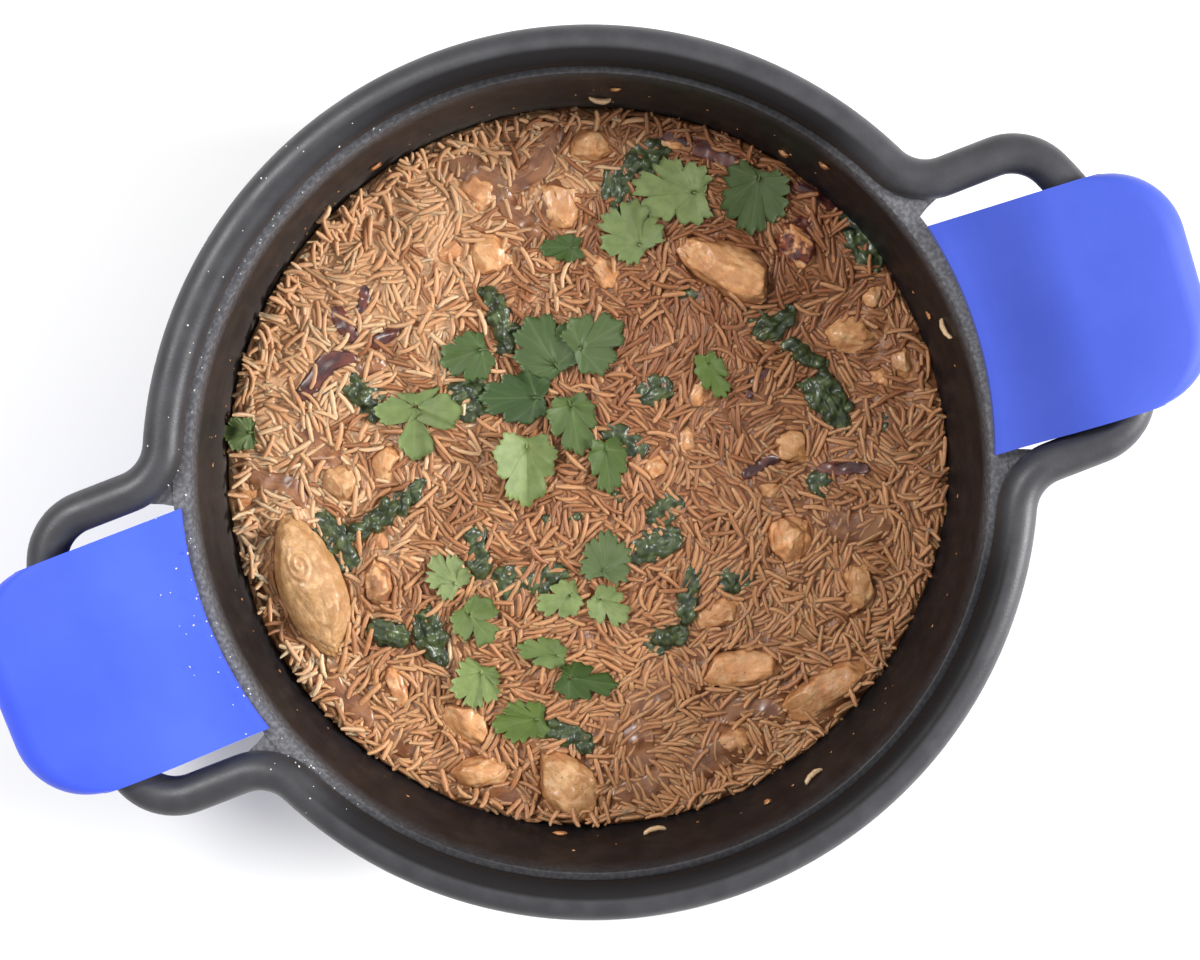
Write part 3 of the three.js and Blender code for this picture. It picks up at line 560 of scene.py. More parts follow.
def quarter_roll():
    """The roll's middle line, from the middle of the right handle's bar to the back of the rim."""
    root_v = ARM_OFFSET + BEND_RADIUS
    root_u = math.sqrt((RIM_RADIUS + BEND_RADIUS) ** 2 - root_v ** 2)
    root_angle = math.atan2(root_v, root_u)
    turn = math.pi / 2 - CORNER_TURN
    return [
        *arc((BAR_CENTRE, 0), BAR_BOW, 0, turn, 10)[:-1],
        *arc((ARM_END, ARM_OFFSET - BEND_RADIUS), BEND_RADIUS, turn, math.pi / 2, 12),
        *arc((root_u, root_v), BEND_RADIUS, -math.pi / 2, -math.pi + root_angle, 12),
        *arc((0, 0), RIM_RADIUS, root_angle, math.pi / 2, 44)[1:],
    ]


def rolled_bar():
    """The round bar bent along the roll's closed middle line."""
    quarter = quarter_roll()
    half = quarter + [(-x, y) for x, y in reversed(quarter[1:-1])]
    path = np.array(half + [(-x, -y) for x, y in half])
    along = np.roll(path, -1, 0) - np.roll(path, 1, 0)
    along /= np.linalg.norm(along, axis=1, keepdims=True)
    outward = np.stack([along[:, 1], -along[:, 0]], -1)
    sides = 28
    turns = (np.arange(sides) + 0.5) / sides * 2 * math.pi
    flat = path[:, None, :] + ROLL_RADIUS * np.cos(turns)[None, :, None] * outward[:, None, :]
    height = np.broadcast_to(ROLL_HEIGHT + ROLL_RADIUS * np.sin(turns), flat.shape[:2])
    points = np.concatenate([flat, height[..., None]], -1).reshape(-1, 3)
    return new_object("bar", points, grid_faces(len(path), sides, True, True))


def root_web(side_x, side_y):
    """The flat web in the narrow angle between the lip and a handle's root."""
    outline = [(side_x * x, side_y * y) for x, y in WEB_OUTLINE]
    if side_x * side_y > 0:
        outline.reverse()
    low, high = LIP_HEIGHT - LIP_THICKNESS + 0.3, LIP_HEIGHT - 0.3
    points = [(x, y, z) for z in (low, high) for x, y in outline]
    count = len(outline)
    loop = np.arange(count)
    faces = np.vstack([
        grid_faces(2, count, close_columns=True),
        fan_faces(0, loop)[1:-1],
        fan_faces(count, count + loop)[1:-1, ::-1],
    ])
    return new_object("web", points, faces[:, ::-1])


def note_pot_zones(pot):
    """Marks the inside of the wall, a pale band of painted light on it just above the rice, the flat lip,
    which is most rubbed by the handles and both splashed and given painted light on the far left, and the
    roll's inner half, which is given painted shade."""
    points = points_of(pot)
    radius = np.hypot(points[:, 0], points[:, 1])
    off_wall = radius - wall_radius(points[:, 2])
    inside = smooth_step(0.9, 0.2, off_wall) * (points[:, 2] > FLOOR_THICKNESS - 1)
    on_lip = (radius > LIP_RADIUS - 0.6) & (np.abs(points[:, 2] - LIP_HEIGHT) < 1.2)
    by_handle = smooth_step(0.8, 0.93, np.abs(points[:, 0]) / np.maximum(radius, 1))
    # Painted shade: the roll's inner half is marked to be painted darker, less so by the handles and on the
    # far left.
    roll_painted_shade = smooth_step(RIM_RADIUS - 0.4, RIM_RADIUS - 2.4, radius) * (points[:, 2] > LIP_HEIGHT - 1.5)
    # On the far left the lip is paler, with splashes and painted light, and the roll's painted shade is
    # lighter.
    splashed_and_lit = smooth_step(0.3, 0.9, (0.5 * points[:, 1] - points[:, 0]) / np.maximum(radius, 1))
    # Painted light: the wall is painted paler on one side, most of all just above the rice.
    toward = PAINTED_WALL_LIGHT_DIRECTION[1] * points[:, 1] + PAINTED_WALL_LIGHT_DIRECTION[0] * points[:, 0]
    low_down = smooth_step(PAINTED_WALL_LIGHT_HEIGHT[1], PAINTED_WALL_LIGHT_HEIGHT[0], points[:, 2])
    painted_wall_light = smooth_step(0.3, 0.8, toward / np.maximum(radius, 1)) * (0.1 + 0.9 * low_down)
    note(pot, "inside", inside)
    note(pot, "painted_wall_light", painted_wall_light * inside)
    note(pot, "lip", on_lip * (0.2 + 0.8 * np.maximum(by_handle, splashed_and_lit)))
    note(pot, "roll_painted_shade", roll_painted_shade * (1 - 0.8 * np.maximum(by_handle, splashed_and_lit ** 2)) * (1 - inside))


def make_pot():
    webs = [root_web(x, y) for x, y in ((1, 1), (-1, 1), (-1, -1), (1, -1))]
    pot = united([turned_body(), rolled_bar(), *webs])
    pot.name = "cast_pot"
    crisp(pot, 32)
    note_pot_zones(pot)
    return place_piece(pot, coating_finish(), ["casserole"])


# ---------------------------------------------------------------- handle covers

def cover_section(v):
    """A cover's section at v, from the end of its upper leaf, round the fold to its lower leaf and back."""
    straight = COVER_HALF_WIDTH - COVER_CORNER
    across = min(max(abs(v) - straight, 0), COVER_CORNER)
    rounded = COVER_REACH - COVER_CORNER + math.sqrt(COVER_CORNER ** 2 - across ** 2)
    bar_outer = BAR_CENTRE + math.sqrt(BAR_BOW ** 2 - v ** 2) + ROLL_RADIUS / math.sin(CORNER_TURN)
    nose = max(rounded, bar_outer + FOLD_CLEARANCE + COVER_THICKNESS)
    fold = FOLD_RADIUS + COVER_THICKNESS
    fold_u = nose - fold
    lip_u = math.sqrt(TOP_LEAF_RADIUS ** 2 - v ** 2)
    lower_u = math.sqrt(LOWER_LEAF_RADIUS ** 2 - v ** 2)
    lip_z = LIP_HEIGHT + LEAF_CLEARANCE
    knee = min(LEAF_KNEE, fold_u - SHORTEST_FLAT)
    slope = np.linspace(0, 1, 13)[:-1]
    ease = slope ** 2 * (3 - 2 * slope)
    rise = ROLL_HEIGHT + FOLD_RADIUS - lip_z
    upper = [(lip_u + s * (knee - lip_u), lip_z + e * rise) for s, e in zip(slope, ease)]
    lower = [
        (fold_u + s * (lower_u - fold_u), ROLL_HEIGHT - FOLD_RADIUS - LOWER_LEAF_SAG * s)
        for s in (0.3, 0.6, 0.9, 1)
    ]
    outside = [
        *[(u, z + COVER_THICKNESS) for u, z in upper],
        (knee, ROLL_HEIGHT + fold),
        *arc((fold_u, ROLL_HEIGHT), fold, math.pi / 2, -math.pi / 2, 14),
        *[(u, z - COVER_THICKNESS) for u, z in lower],
    ]
    inside = [
        *reversed(lower),
        *arc((fold_u, ROLL_HEIGHT), FOLD_RADIUS, -math.pi / 2, math.pi / 2, 14),
        (knee, ROLL_HEIGHT + FOLD_RADIUS),
        *reversed(upper),
    ]
    return outside + inside


def make_cover(node, seat, finish):
    """A folded cover on its handle. Its faces point inwards, apart from the caps along its sides, so the
    rounding leaves small open loops there."""
    stations = np.sin(np.linspace(-math.pi / 2, math.pi / 2, 49)) * COVER_HALF_WIDTH
    sections = np.array([[(u, v, z) for u, z in cover_section(v)] for v in stations])
    rows, size = sections.shape[:2]
    strip = np.arange(size // 2 - 1)
    ends = []
    for first, flip in ((0, False), ((rows - 1) * size, True)):
        a, b = first + strip, first + strip + 1
        c, d = first + size - 2 - strip, first + size - 1 - strip
        quads = np.vstack([np.stack([a, b, c], -1), np.stack([a, c, d], -1)])
        ends.append(quads if flip else quads[:, ::-1])
    faces = np.vstack([grid_faces(rows, size, close_columns=True), *ends])
    points = sections.reshape(-1, 3)
    seat_u, seat_v = seat["at"]
    x, y = turned(points[:, 0] - seat_u, points[:, 1], seat["turn"])
    x, y = turned(x + seat_u, y + seat_v, seat["side"])
    cover = new_object(node + "_silicone", np.stack([x, y, points[:, 2]], -1), faces)
    rounding = cover.modifiers.new("rounding", "BEVEL")
    rounding.width = COVER_ROUNDING * MM
    rounding.segments = 3
    rounding.limit_method = "ANGLE"
    rounding.angle_limit = math.radians(50)
    apply_modifiers(cover)
    crisp(cover, 40)
    return place_piece(cover, finish, [node])


# ---------------------------------------------------------------- what lies on what

class Surface:
    """The height of all that has been laid so far, on a square grid."""

    STEP = 0.5

    def __init__(self, reach):
        self.reach = reach
        self.side = int(2 * reach / self.STEP) + 1
        self.top = np.full((self.side, self.side), -100.0)
        self.owner = np.full((self.side, self.side), -1)
        self.taken = np.zeros((self.side, self.side), bool)

    def index(self, value):
        return np.clip(np.rint((value + self.reach) / self.STEP).astype(int), 0, self.side - 1)

    def height(self, x, y):
        return self.top[self.index(x), self.index(y)]

    def places(self):
        line = np.arange(self.side) * self.STEP - self.reach
        return np.meshgrid(line, line, indexing="ij")

    def lay(self, i, j, z, owner):
        higher = z > self.top[i, j]
        self.top[i[higher], j[higher]] = z[higher]
        self.owner[i[higher], j[higher]] = owner

    def lay_object(self, obj, taken=True):
        """Notes the upper side of an object."""
        points = points_of(obj)
        tree = BVHTree.FromPolygons(points.tolist(), triangles_of(obj).tolist())
        low, high = self.index(points.min(0)[:2]), self.index(points.max(0)[:2])
        down = Vector((0, 0, -1))
        for i in range(low[0], high[0] + 1):
            for j in range(low[1], high[1] + 1):
                start = (i * self.STEP - self.reach, j * self.STEP - self.reach, 200)
                hit = tree.ray_cast(start, down)[0]
                if hit is None:
                    continue
                self.taken[i, j] |= taken
                if hit.z > self.top[i, j]:
                    self.top[i, j] = hit.z
                    self.owner[i, j] = -1

    def smoothed(self, x, y, reach):
        """The mean height round some points."""
        ring = [(0, 0), (1, 0), (-1, 0), (0, 1), (0, -1), (0.7, 0.7), (-0.7, 0.7), (0.7, -0.7), (-0.7, -0.7)]
        return np.mean([self.height(x + reach * a, y + reach * b) for a, b in ring], axis=0)

    def between(self, grid, x, y):
        """The value at some places of a grid as fine as this one."""
        return between_points(grid, (x + self.reach) / self.STEP, (y + self.reach) / self.STEP)


def between_points(grid, x, y):
    """A grid's value at places that lie between its points, counted in the grid's own steps."""
    i = np.clip(x.astype(int), 0, grid.shape[0] - 2)
    j = np.clip(y.astype(int), 0, grid.shape[1] - 2)
    a, b = x - i, y - j
    near = grid[i, j] * (1 - a) + grid[i + 1, j] * a
    far = grid[i, j + 1] * (1 - a) + grid[i + 1, j + 1] * a
    return near * (1 - b) + far * b


def neighbours(grid):
    """A grid's four neighbours of each cell."""
    padded = np.pad(grid, 1, mode="edge")
    return [padded[2:, 1:-1], padded[:-2, 1:-1], padded[1:-1, 2:], padded[1:-1, :-2]]


def blanket(top):
    """The height of a thin skin drawn over a surface, with the fine dips between grains closed."""
    for _ in range(2):
        top = np.maximum.reduce([top, *neighbours(top)])
    for _ in range(8):
        top = np.mean([top, *neighbours(top)], axis=0)
    return top


def rice_level():
    """The rice's broad surface: the pilaf node's upper side, with its bumps smoothed out."""
    points = points_of(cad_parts["pilaf"])
    highest_of_underside = 35
    upper = points[points[:, 2] > highest_of_underside]
    coarse = 8
    line = np.arange(-surface.reach, surface.reach + coarse, coarse)
    means = np.array([[upper_mean(upper, x, y) for y in line] for x in line])
    x, y = surface.places()
    return between_points(means, (x + surface.reach) / coarse, (y + surface.reach) / coarse)


def make_bundles():
    """The bundles that the grains lie in. Each place gets its bundle's direction and height."""
    count = int((2 * surface.reach / BUNDLE_SIZE) ** 2)
    middles = random.uniform(-surface.reach, surface.reach, (count, 2))
    angles = random.uniform(0, math.pi, count)
    rises = BUNDLE_RISE * random.uniform(-1, 1, count)
    near = surface.places()
    nearest = np.empty((surface.side, surface.side), int)
    for row in range(surface.side):
        x, y = near[0][row][:, None], near[1][row][:, None]
        nearest[row] = np.argmin((x - middles[:, 0]) ** 2 + (y - middles[:, 1]) ** 2, axis=1)
    rise = rises[nearest]
    for _ in range(24):
        rise = np.mean([rise, *neighbours(rise)], axis=0)
    return angles[nearest], rise


def banked(level):
    """The level with rice banked up against the food that lies in it."""
    above = np.where(surface.taken, surface.top - level, 0)
    for _ in range(30):
        above = np.maximum.reduce([above, *(side - 0.3 for side in neighbours(above))])
    return level + BANK_SHARE * np.clip(above, 0, 8)


def upper_mean(points, x, y):
    """The mean height of the points near a place, the nearest counting most."""
    spread = 9
    weight = np.exp(-((points[:, 0] - x) ** 2 + (points[:, 1] - y) ** 2) / (2 * spread ** 2)) + 1e-12
    return float((weight * points[:, 2]).sum() / weight.sum())


def field(x, y, size, seed):
    """Smooth noise from about -1 to 1 over the plane."""
    return noise.noise(Vector((x / size, y / size, seed)))


# ---------------------------------------------------------------- core and grains

def make_core():
    """The soft mass that the grains that show are bedded in, out to the wall and down to the floor."""
    rings, steps = 120, 320
    shares = np.linspace(0, 1, rings + 1)[1:]
    turns = np.arange(steps) / steps * 2 * math.pi
    radius = shares[:, None] * (FOOD_REACH - 0.6)
    x, y = radius * np.cos(turns), radius * np.sin(turns)
    bumps = np.array([[field(a, b, 3.2, 5) for a, b in zip(*row)] for row in zip(x, y)])
    z = surface.between(mush, x, y) + 0.3 * bumps
    corner = FLOOR_THICKNESS + INNER_CORNER
    below = arc((wall_radius(corner) - INNER_CORNER, corner), INNER_CORNER - 1, 0, -math.pi / 2, 5)
    rows = [np.stack([x, y, z], -1).reshape(-1, 3)]
    rows += [np.stack([r * np.cos(turns), r * np.sin(turns), np.full(steps, h)], -1) for r, h in below]
    points = np.vstack([*rows, [(0, 0, float(z[0].mean())), (0, 0, below[-1][1])]])
    core = new_object("pilaf_core", points, capped_faces(rings + len(below), steps)[:, ::-1])
    note(core, "pale", smooth_step(0.2, 0.7, np.array([pale_share(a, b) for a, b in points[:, :2]])))
    return place_piece(core, core_finish(), ["pilaf"])


# Where along a grain it is tried against what lies below, the pairs of those places that can carry it, and
# the grid steps round a grain's middle that it can cover.
SAMPLES = np.linspace(-0.95, 0.95, 9)
LEFT, RIGHT = (index.ravel() for index in np.meshgrid(np.arange(5), np.arange(4, 9), indexing="ij"))
PAIRS = LEFT != RIGHT
LEFT, RIGHT = LEFT[PAIRS], RIGHT[PAIRS]
WINDOW = np.stack(np.meshgrid(np.arange(-13, 14), np.arange(-13, 14), indexing="ij"), -1).reshape(-1, 2)


def resting_line(x, y, angles, half):
    """Where a straight grain comes to rest at each of several angles: its middle's height, its slope, and
    how much of it is on other food."""
    s = SAMPLES * half
    cos, sin = np.cos(angles)[:, None], np.sin(angles)[:, None]
    px, py = x + s * cos, y + s * sin
    heights = np.maximum.reduce([
        surface.height(px, py),
        surface.height(px - 0.6 * sin, py + 0.6 * cos) - 0.25,
        surface.height(px + 0.6 * sin, py - 0.6 * cos) - 0.25,
    ])
    slope = (heights[:, RIGHT] - heights[:, LEFT]) / (s[RIGHT] - s[LEFT])
    middle = heights[:, LEFT] - slope * s[LEFT]
    clear = (middle[..., None] + slope[..., None] * s >= heights[:, None] - 1e-6).all(-1)
    best = np.argmin(np.where(clear, middle, 1e9), axis=1)[:, None]
    on_food = surface.taken[surface.index(px), surface.index(py)].mean(1)
    return np.take_along_axis(middle, best, 1)[:, 0], np.take_along_axis(slope, best, 1)[:, 0], on_food


def stamp_grain(grain, owner):
    """Notes a grain's upper side."""
    x, y, z, angle, slope, length, width, bow = grain[:8]
    i = surface.index(np.array([x]))[0] + WINDOW[:, 0]
    j = surface.index(np.array([y]))[0] + WINDOW[:, 1]
    inside = (i >= 0) & (j >= 0) & (i < surface.side) & (j < surface.side)
    i, j = i[inside], j[inside]
    dx = i * surface.STEP - surface.reach - x
    dy = j * surface.STEP - surface.reach - y
    along = dx * math.cos(angle) + dy * math.sin(angle)
    share = along / (length / 2)
    across = -dx * math.sin(angle) + dy * math.cos(angle) - bow * (0.5 - share ** 2)
    half_width = width / 2 * np.sqrt(np.clip(1 - np.abs(share) ** GRAIN_BLUNTNESS, 0, 1))
    on = (np.abs(share) < 1) & (np.abs(across) < half_width)
    if not on.any():
        return
    crown = GRAIN_FLATNESS * np.sqrt(half_width[on] ** 2 - across[on] ** 2)
    surface.lay(i[on], j[on], z + slope * along[on] + crown, owner)


def pale_share(x, y):
    """How far a place lies towards the pale, dry side of the pilaf."""
    out = (x * math.cos(PALE_DIRECTION) + y * math.sin(PALE_DIRECTION)) / FOOD_REACH
    return out + 0.28 * field(x, y, 22, 9)


def new_grain(x, y, spread):
    """A grain's size, and some directions to try. Neighbours in a bundle lie roughly alongside each other."""
    along = directions[surface.index(np.array(x)), surface.index(np.array(y))]
    angles = along + random.normal(0, spread, 5)
    whole = random.random() > 0.06
    length = random.uniform(*GRAIN_LENGTH) * (1 if whole else random.uniform(0.45, 0.75))
    width = random.uniform(*GRAIN_WIDTH)
    bow = float(np.clip(random.normal(0, GRAIN_BOW), -2, 2)) * length / 10
    return angles, length, width, bow


def lay_grains(tries, crest, spread, steepest, over_food):
    """Drops grains one at a time where the heap is lowest, until it is level."""
    for _ in range(tries):
        turns = random.uniform(0, 2 * math.pi, 6)
        radius = (FOOD_REACH - 2) * np.sqrt(random.random(6))
        x, y = radius * np.cos(turns), radius * np.sin(turns)
        i, j = surface.index(x), surface.index(y)
        short = level[i, j] + crest - surface.top[i, j] - 3 * surface.taken[i, j]
        best = int(np.argmax(short))
        if short[best] < 0.2:
            continue
        x, y = float(x[best]), float(y[best])
        loose = smooth_step(0.1, 0.5, pale_share(x, y))
        angles, length, width, bow = new_grain(x, y, spread * (1 + 1.5 * loose))
        rest, slope, on_food = resting_line(x, y, angles, length / 2)
        reach = np.zeros(len(angles))
        for sign in (-0.5, 0.5):
            end_x, end_y = x + sign * length * np.cos(angles), y + sign * length * np.sin(angles)
            reach = np.maximum(reach, np.hypot(end_x, end_y))
        highest = level[i[best], j[best]] + crest + 1.6
        wrong = (reach > FOOD_REACH - 0.3) | (np.abs(slope) > steepest)
        wrong |= (on_food > over_food) | (rest > highest)
        choice = int(np.argmin(rest + 0.6 * np.abs(slope) + 1e3 * wrong))
        if wrong[choice]:
            continue
        z = rest[choice] + GRAIN_FLATNESS * width / 2 - GRAIN_SINK
        grains.append((x, y, z, angles[choice], slope[choice], length, width, bow))
        stamp_grain(grains[-1], len(grains) - 1)


def lean_grains(count):
    """Grains at the edge of the heap that lean against the wall, most of them on the pale side."""
    for _ in range(count):
        around = PALE_DIRECTION + random.normal(0, 1.0)
        if random.random() < 0.2:
            around = random.uniform(0, 2 * math.pi)
        radius = FOOD_REACH - random.uniform(4.5, 7)
        x, y = radius * math.cos(around), radius * math.sin(around)
        turn = random.normal(0, 1.1)
        length = random.uniform(7.5, 10.5)
        slope = random.uniform(0.15, 0.8) * math.cos(turn)
        flat = length / 2 * math.cos(math.atan(slope))
        angle = around + turn
        z = surface.smoothed(np.array(x), np.array(y), 1) + 0.3 * length / 2 * abs(slope)
        z = float(z + random.uniform(0, 1))
        end = math.hypot(x + flat * math.cos(angle), y + flat * math.sin(angle))
        if end > wall_radius(z + flat * slope) - 1.3:
            continue
        width, bow = random.uniform(*GRAIN_WIDTH), random.normal(0, 1)
        grains.append((x, y, z, angle, slope, length, width, bow))
        stamp_grain(grains[-1], len(grains) - 1)


def grain_mesh(name, chosen, tones):
    """One mesh of many grains: curved, blunt at both ends and a little flattened. The fans that close
    their ends face inwards."""
    count = len(chosen)
    x, y, z, angle, slope, length, width, bow = (chosen[:, k, None, None] for k in range(8))
    stations = np.array([-0.97, -0.85, -0.36, 0.36, 0.85, 0.97])[None, :, None]
    sides = 5
    turns = (np.arange(sides) / sides * 2 * math.pi)[None, None, :]
    twist = random.uniform(0, math.pi, (count, 1, 1))
    uneven = 1 + 0.08 * random.normal(size=(count, 6, 1))
    radius = width / 2 * (1 - np.abs(stations) ** GRAIN_BLUNTNESS) ** 0.5 * uneven
    lift = np.arctan(slope)
    along = length / 2 * stations
    arch = 0.35 * random.normal(size=(count, 1, 1)) * (0.5 - stations ** 2)

    def place(reach, out, up):
        flat = reach * np.cos(lift) - up * np.sin(lift)
        return np.stack(np.broadcast_arrays(
            x + flat * np.cos(angle) - out * np.sin(angle),
            y + flat * np.sin(angle) + out * np.cos(angle),
            z + reach * np.sin(lift) + up * np.cos(lift),
        ), -1)

    out = bow * (0.5 - stations ** 2) + radius * np.cos(turns + twist)
    up = arch + GRAIN_FLATNESS * radius * np.sin(turns + twist)
    body = place(along, out, up).reshape(count, -1, 3)
    ends = np.array([-1.0, 1.0])[None, :, None]
    tips = place(length / 2 * ends, bow * (0.5 - ends ** 2), 0 * ends).reshape(count, -1, 3)
    points = np.concatenate([body, tips], 1)
    size = points.shape[1]
    loop = np.arange(sides)
    faces = np.vstack([
        grid_faces(6, sides, close_columns=True)[:, ::-1],
        fan_faces(6 * sides, loop),
        fan_faces(6 * sides + 1, 5 * sides + loop)[:, ::-1],
    ])
    faces = (faces[None] + (np.arange(count) * size)[:, None, None]).reshape(-1, 3)
    obj = new_object(name, points.reshape(-1, 3), faces)
    note(obj, "tone", np.repeat(tones, size))
    return obj


RICE_KINDS = {
    "rice_pale": (rgb(202, 156, 117), rgb(232, 199, 162), rgb(196, 145, 103)),
    "rice_golden": (rgb(152, 102, 67), rgb(206, 157, 113), rgb(146, 96, 62)),
    "rice_amber": (rgb(147, 95, 63), rgb(204, 151, 108), rgb(141, 89, 57)),
}


def make_rice():
    """The grains that show, in three kinds by how much sauce they took up, and lighter towards one side."""
    every = np.array(grains)
    seen = np.unique(surface.owner[(surface.owner >= 0) & (surface.top > mush)], return_counts=True)
    shown = seen[0][seen[1] > 3]
    every = every[shown]
    paleness = np.array([pale_share(x, y) for x, y in every[:, :2]]) + random.normal(0, 0.15, len(every))
    kinds = np.where(paleness > 0.5, 0, np.where(paleness > 0.04, 1, 2))
    low_side = every[:, :2] @ (math.cos(LIGHT_DIRECTION), math.sin(LIGHT_DIRECTION)) / FOOD_REACH
    tones = np.clip(1.2 * random.random(len(every)) ** 1.6 + low_side - 0.15, -0.5, 1.3)
    for kind, (name, colours) in enumerate(RICE_KINDS.items()):
        obj = grain_mesh(name, every[kinds == kind], tones[kinds == kind])
        place_piece(obj, rice_finish(name + "_grains", *colours))


# ---------------------------------------------------------------- chicken and greens

def nodes_named(start):
    return sorted(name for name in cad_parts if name.startswith(start))


def remeshed(name, node, voxel, rounds):
    """A node's own form as an even, rounded mesh."""
    obj = bpy.data.objects.new(name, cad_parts[node].data.copy())
    bpy.context.collection.objects.link(obj)
    return refine(obj, voxel, rounds)


def refine(obj, voxel, rounds):
    remesh = obj.modifiers.new("remesh", "REMESH")
    remesh.mode = "VOXEL"
    remesh.voxel_size = voxel * MM
    even = obj.modifiers.new("even", "SMOOTH")
    even.factor = 0.5
    even.iterations = rounds
    apply_modifiers(obj)
    obj.data.shade_smooth()
    return obj


def own_direction(obj):
    """The flat direction in which a piece is longest, towards +Y."""
    flat = points_of(obj)[:, :2]
    flat = flat - flat.mean(0)
    along = np.linalg.eigh(flat.T @ flat)[1][:, -1]
    return along if along[1] > 0 else -along


def own_axes(obj):
    """The middle of a piece, and its points along and across its longest direction."""
    points = points_of(obj)
    middle = points.mean(0)
    along = own_direction(obj)
    flat = points[:, :2] - middle[:2]
    return middle, np.stack([flat @ along, flat @ (-along[1], along[0]), points[:, 2] - middle[2]], -1)


def shaped(obj, relief, pointed=0.0, cuts=()):
    """Narrows a piece towards its ends, cuts flats square to some directions, and then moves each point
    along its normal by relief(own point)."""
    middle, own = own_axes(obj)
    along = own_direction(obj)
    share = np.abs(own[:, 0]) / np.abs(own[:, 0]).max()
    own[:, 1] *= 1 - pointed * share ** 2.2
    own[:, 2] -= 0.4 * pointed * share ** 3 * (own[:, 2] - own[:, 2].min())
    for direction in cuts:
        reach = own @ direction
        own -= 0.9 * np.maximum(reach - CUT_SHARE * reach.max(), 0)[:, None] * direction
    flat = own[:, :1] * along + own[:, 1:2] * (-along[1], along[0])
    move_points(obj, np.column_stack([flat, own[:, 2]]) + middle)
    moves = np.array([relief(Vector(p)) for p in own.tolist()])
    move_points(obj, points_of(obj) + normals_of(obj) * moves[:, None])
    note_vector(obj, "own_place", own * MM)
    return obj


def knife_cuts(count, seed):
    """Directions of a knife's cuts, all round a piece and more or less slanting upwards."""
    draw = np.random.default_rng(seed)
    around = 2 * math.pi * (np.arange(count) + draw.uniform(-0.3, 0.3, count)) / max(count, 1)
    tilt = draw.uniform(0.15, 1.1, count)
    return np.stack([np.cos(around) * np.cos(tilt), np.sin(around) * np.cos(tilt), np.sin(tilt)], -1)


def meat_relief(seed, half_length, lumps, creases):
    """Broad lumps, creases between the bundles of meat, and torn fibres at the ends."""
    def relief(p):
        lump = noise.noise(Vector((p.x / 12, p.y / 9, p.z / 9 + seed)))
        near = noise.voronoi(Vector((p.x / 15, p.y / 6, p.z / 6 + seed)))[0]
        crease = math.exp(-((near[1] - near[0]) / 0.13) ** 2)
        end = float(smooth_step(0.6, 1, abs(p.x) / half_length))
        tear = noise.noise(Vector((p.x / 6 + seed, p.y / 1.5, p.z / 1.5)))
        return lumps * lump - creases * crease + (0.08 + end) * tear + 0.3 * noise.noise(p / 3)
    return relief


def curled_folds(relief, x, y, reach):
    """A relief with a few curled folds added about one place."""
    def folded(p):
        away = math.hypot(p.x - x, 1.5 * (p.y - y))
        around = math.atan2(p.y - y, p.x - x)
        fold = math.cos(2 * math.pi * away / 3.4 + around) * (p.z > 0)
        return relief(p) + 0.65 * fold * math.exp(-(away / reach) ** 4)
    return folded


# How browned each piece is, how orange its meat and how pointed its ends. The last is for all others.
MEAT_LOOKS = {
    "chicken_fillet_left": (0.1, 0.0, 0.5),
    "chicken_big_upper_right": (0.25, 0.55, 0.4),
    "chicken_bottom": (0.1, 0.25, 0.3),
    "chicken_browned": (1.0, 0.9, 0.2),
    "chicken_wedge": (0.25, 0.9, 0.1),
    "chicken_left_inner": (0.6, 0.3, 0.2),
    "chicken_strip_left": (0.4, 0.7, 0.4),
    "chicken_edge_right": (0.35, 0.5, 0.1),
    "chicken_left_pale": (0.3, 0.1, 0.1),
    "chicken_long_lower_right": (0.25, 0.55, 0.5),
    "chicken_lower_right": (0.15, 0.7, 0.4),
    "chicken_lower_block": (0.3, 0.6, 0),
    "chicken_oval_right": (0.2, 0.3, 0.1),
    "": (0.12, 0.45, 0.2),
}


def note_meat(obj, browned, warm):
    """Marks how browned and how orange a piece is, and its steep sides, which are darker: partly a sauce
    stain and partly painted shade. Orange meat gets the most of it."""
    count = len(obj.data.vertices)
    # How much darker the steep sides are painted: part sauce stain, part painted shade.
    stain = 0.35 + 0.65 * min(1, 2 * warm)
    note(obj, "browned", np.full(count, browned))
    note(obj, "warm", np.full(count, warm))
    note(obj, "side", stain * smooth_step(0.86, 0.25, normals_of(obj)[:, 2]))


def make_chicken(finish):
    for seed, name in enumerate(nodes_named("chicken_")):
        half_length = max(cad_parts[name].dimensions.xy) / MM / 2
        whole = half_length > 16
        piece = remeshed(name + "_meat", name, 0.7, 20 if whole else 4)
        browned, warm, pointed = MEAT_LOOKS.get(name, MEAT_LOOKS[""])
        relief = meat_relief(10 * seed, half_length, *((0.7, 0.25) if whole else (1.2, 0.4)))
        cuts = knife_cuts(2 if whole else 8, seed + 40)
        if name == "chicken_fillet_left":
            relief, cuts = curled_folds(relief, 9, 0, 7), ()
        shaped(piece, relief, pointed, cuts)
        note_meat(piece, browned, warm)
        place_piece(piece, finish, [name])
        surface.lay_object(piece)


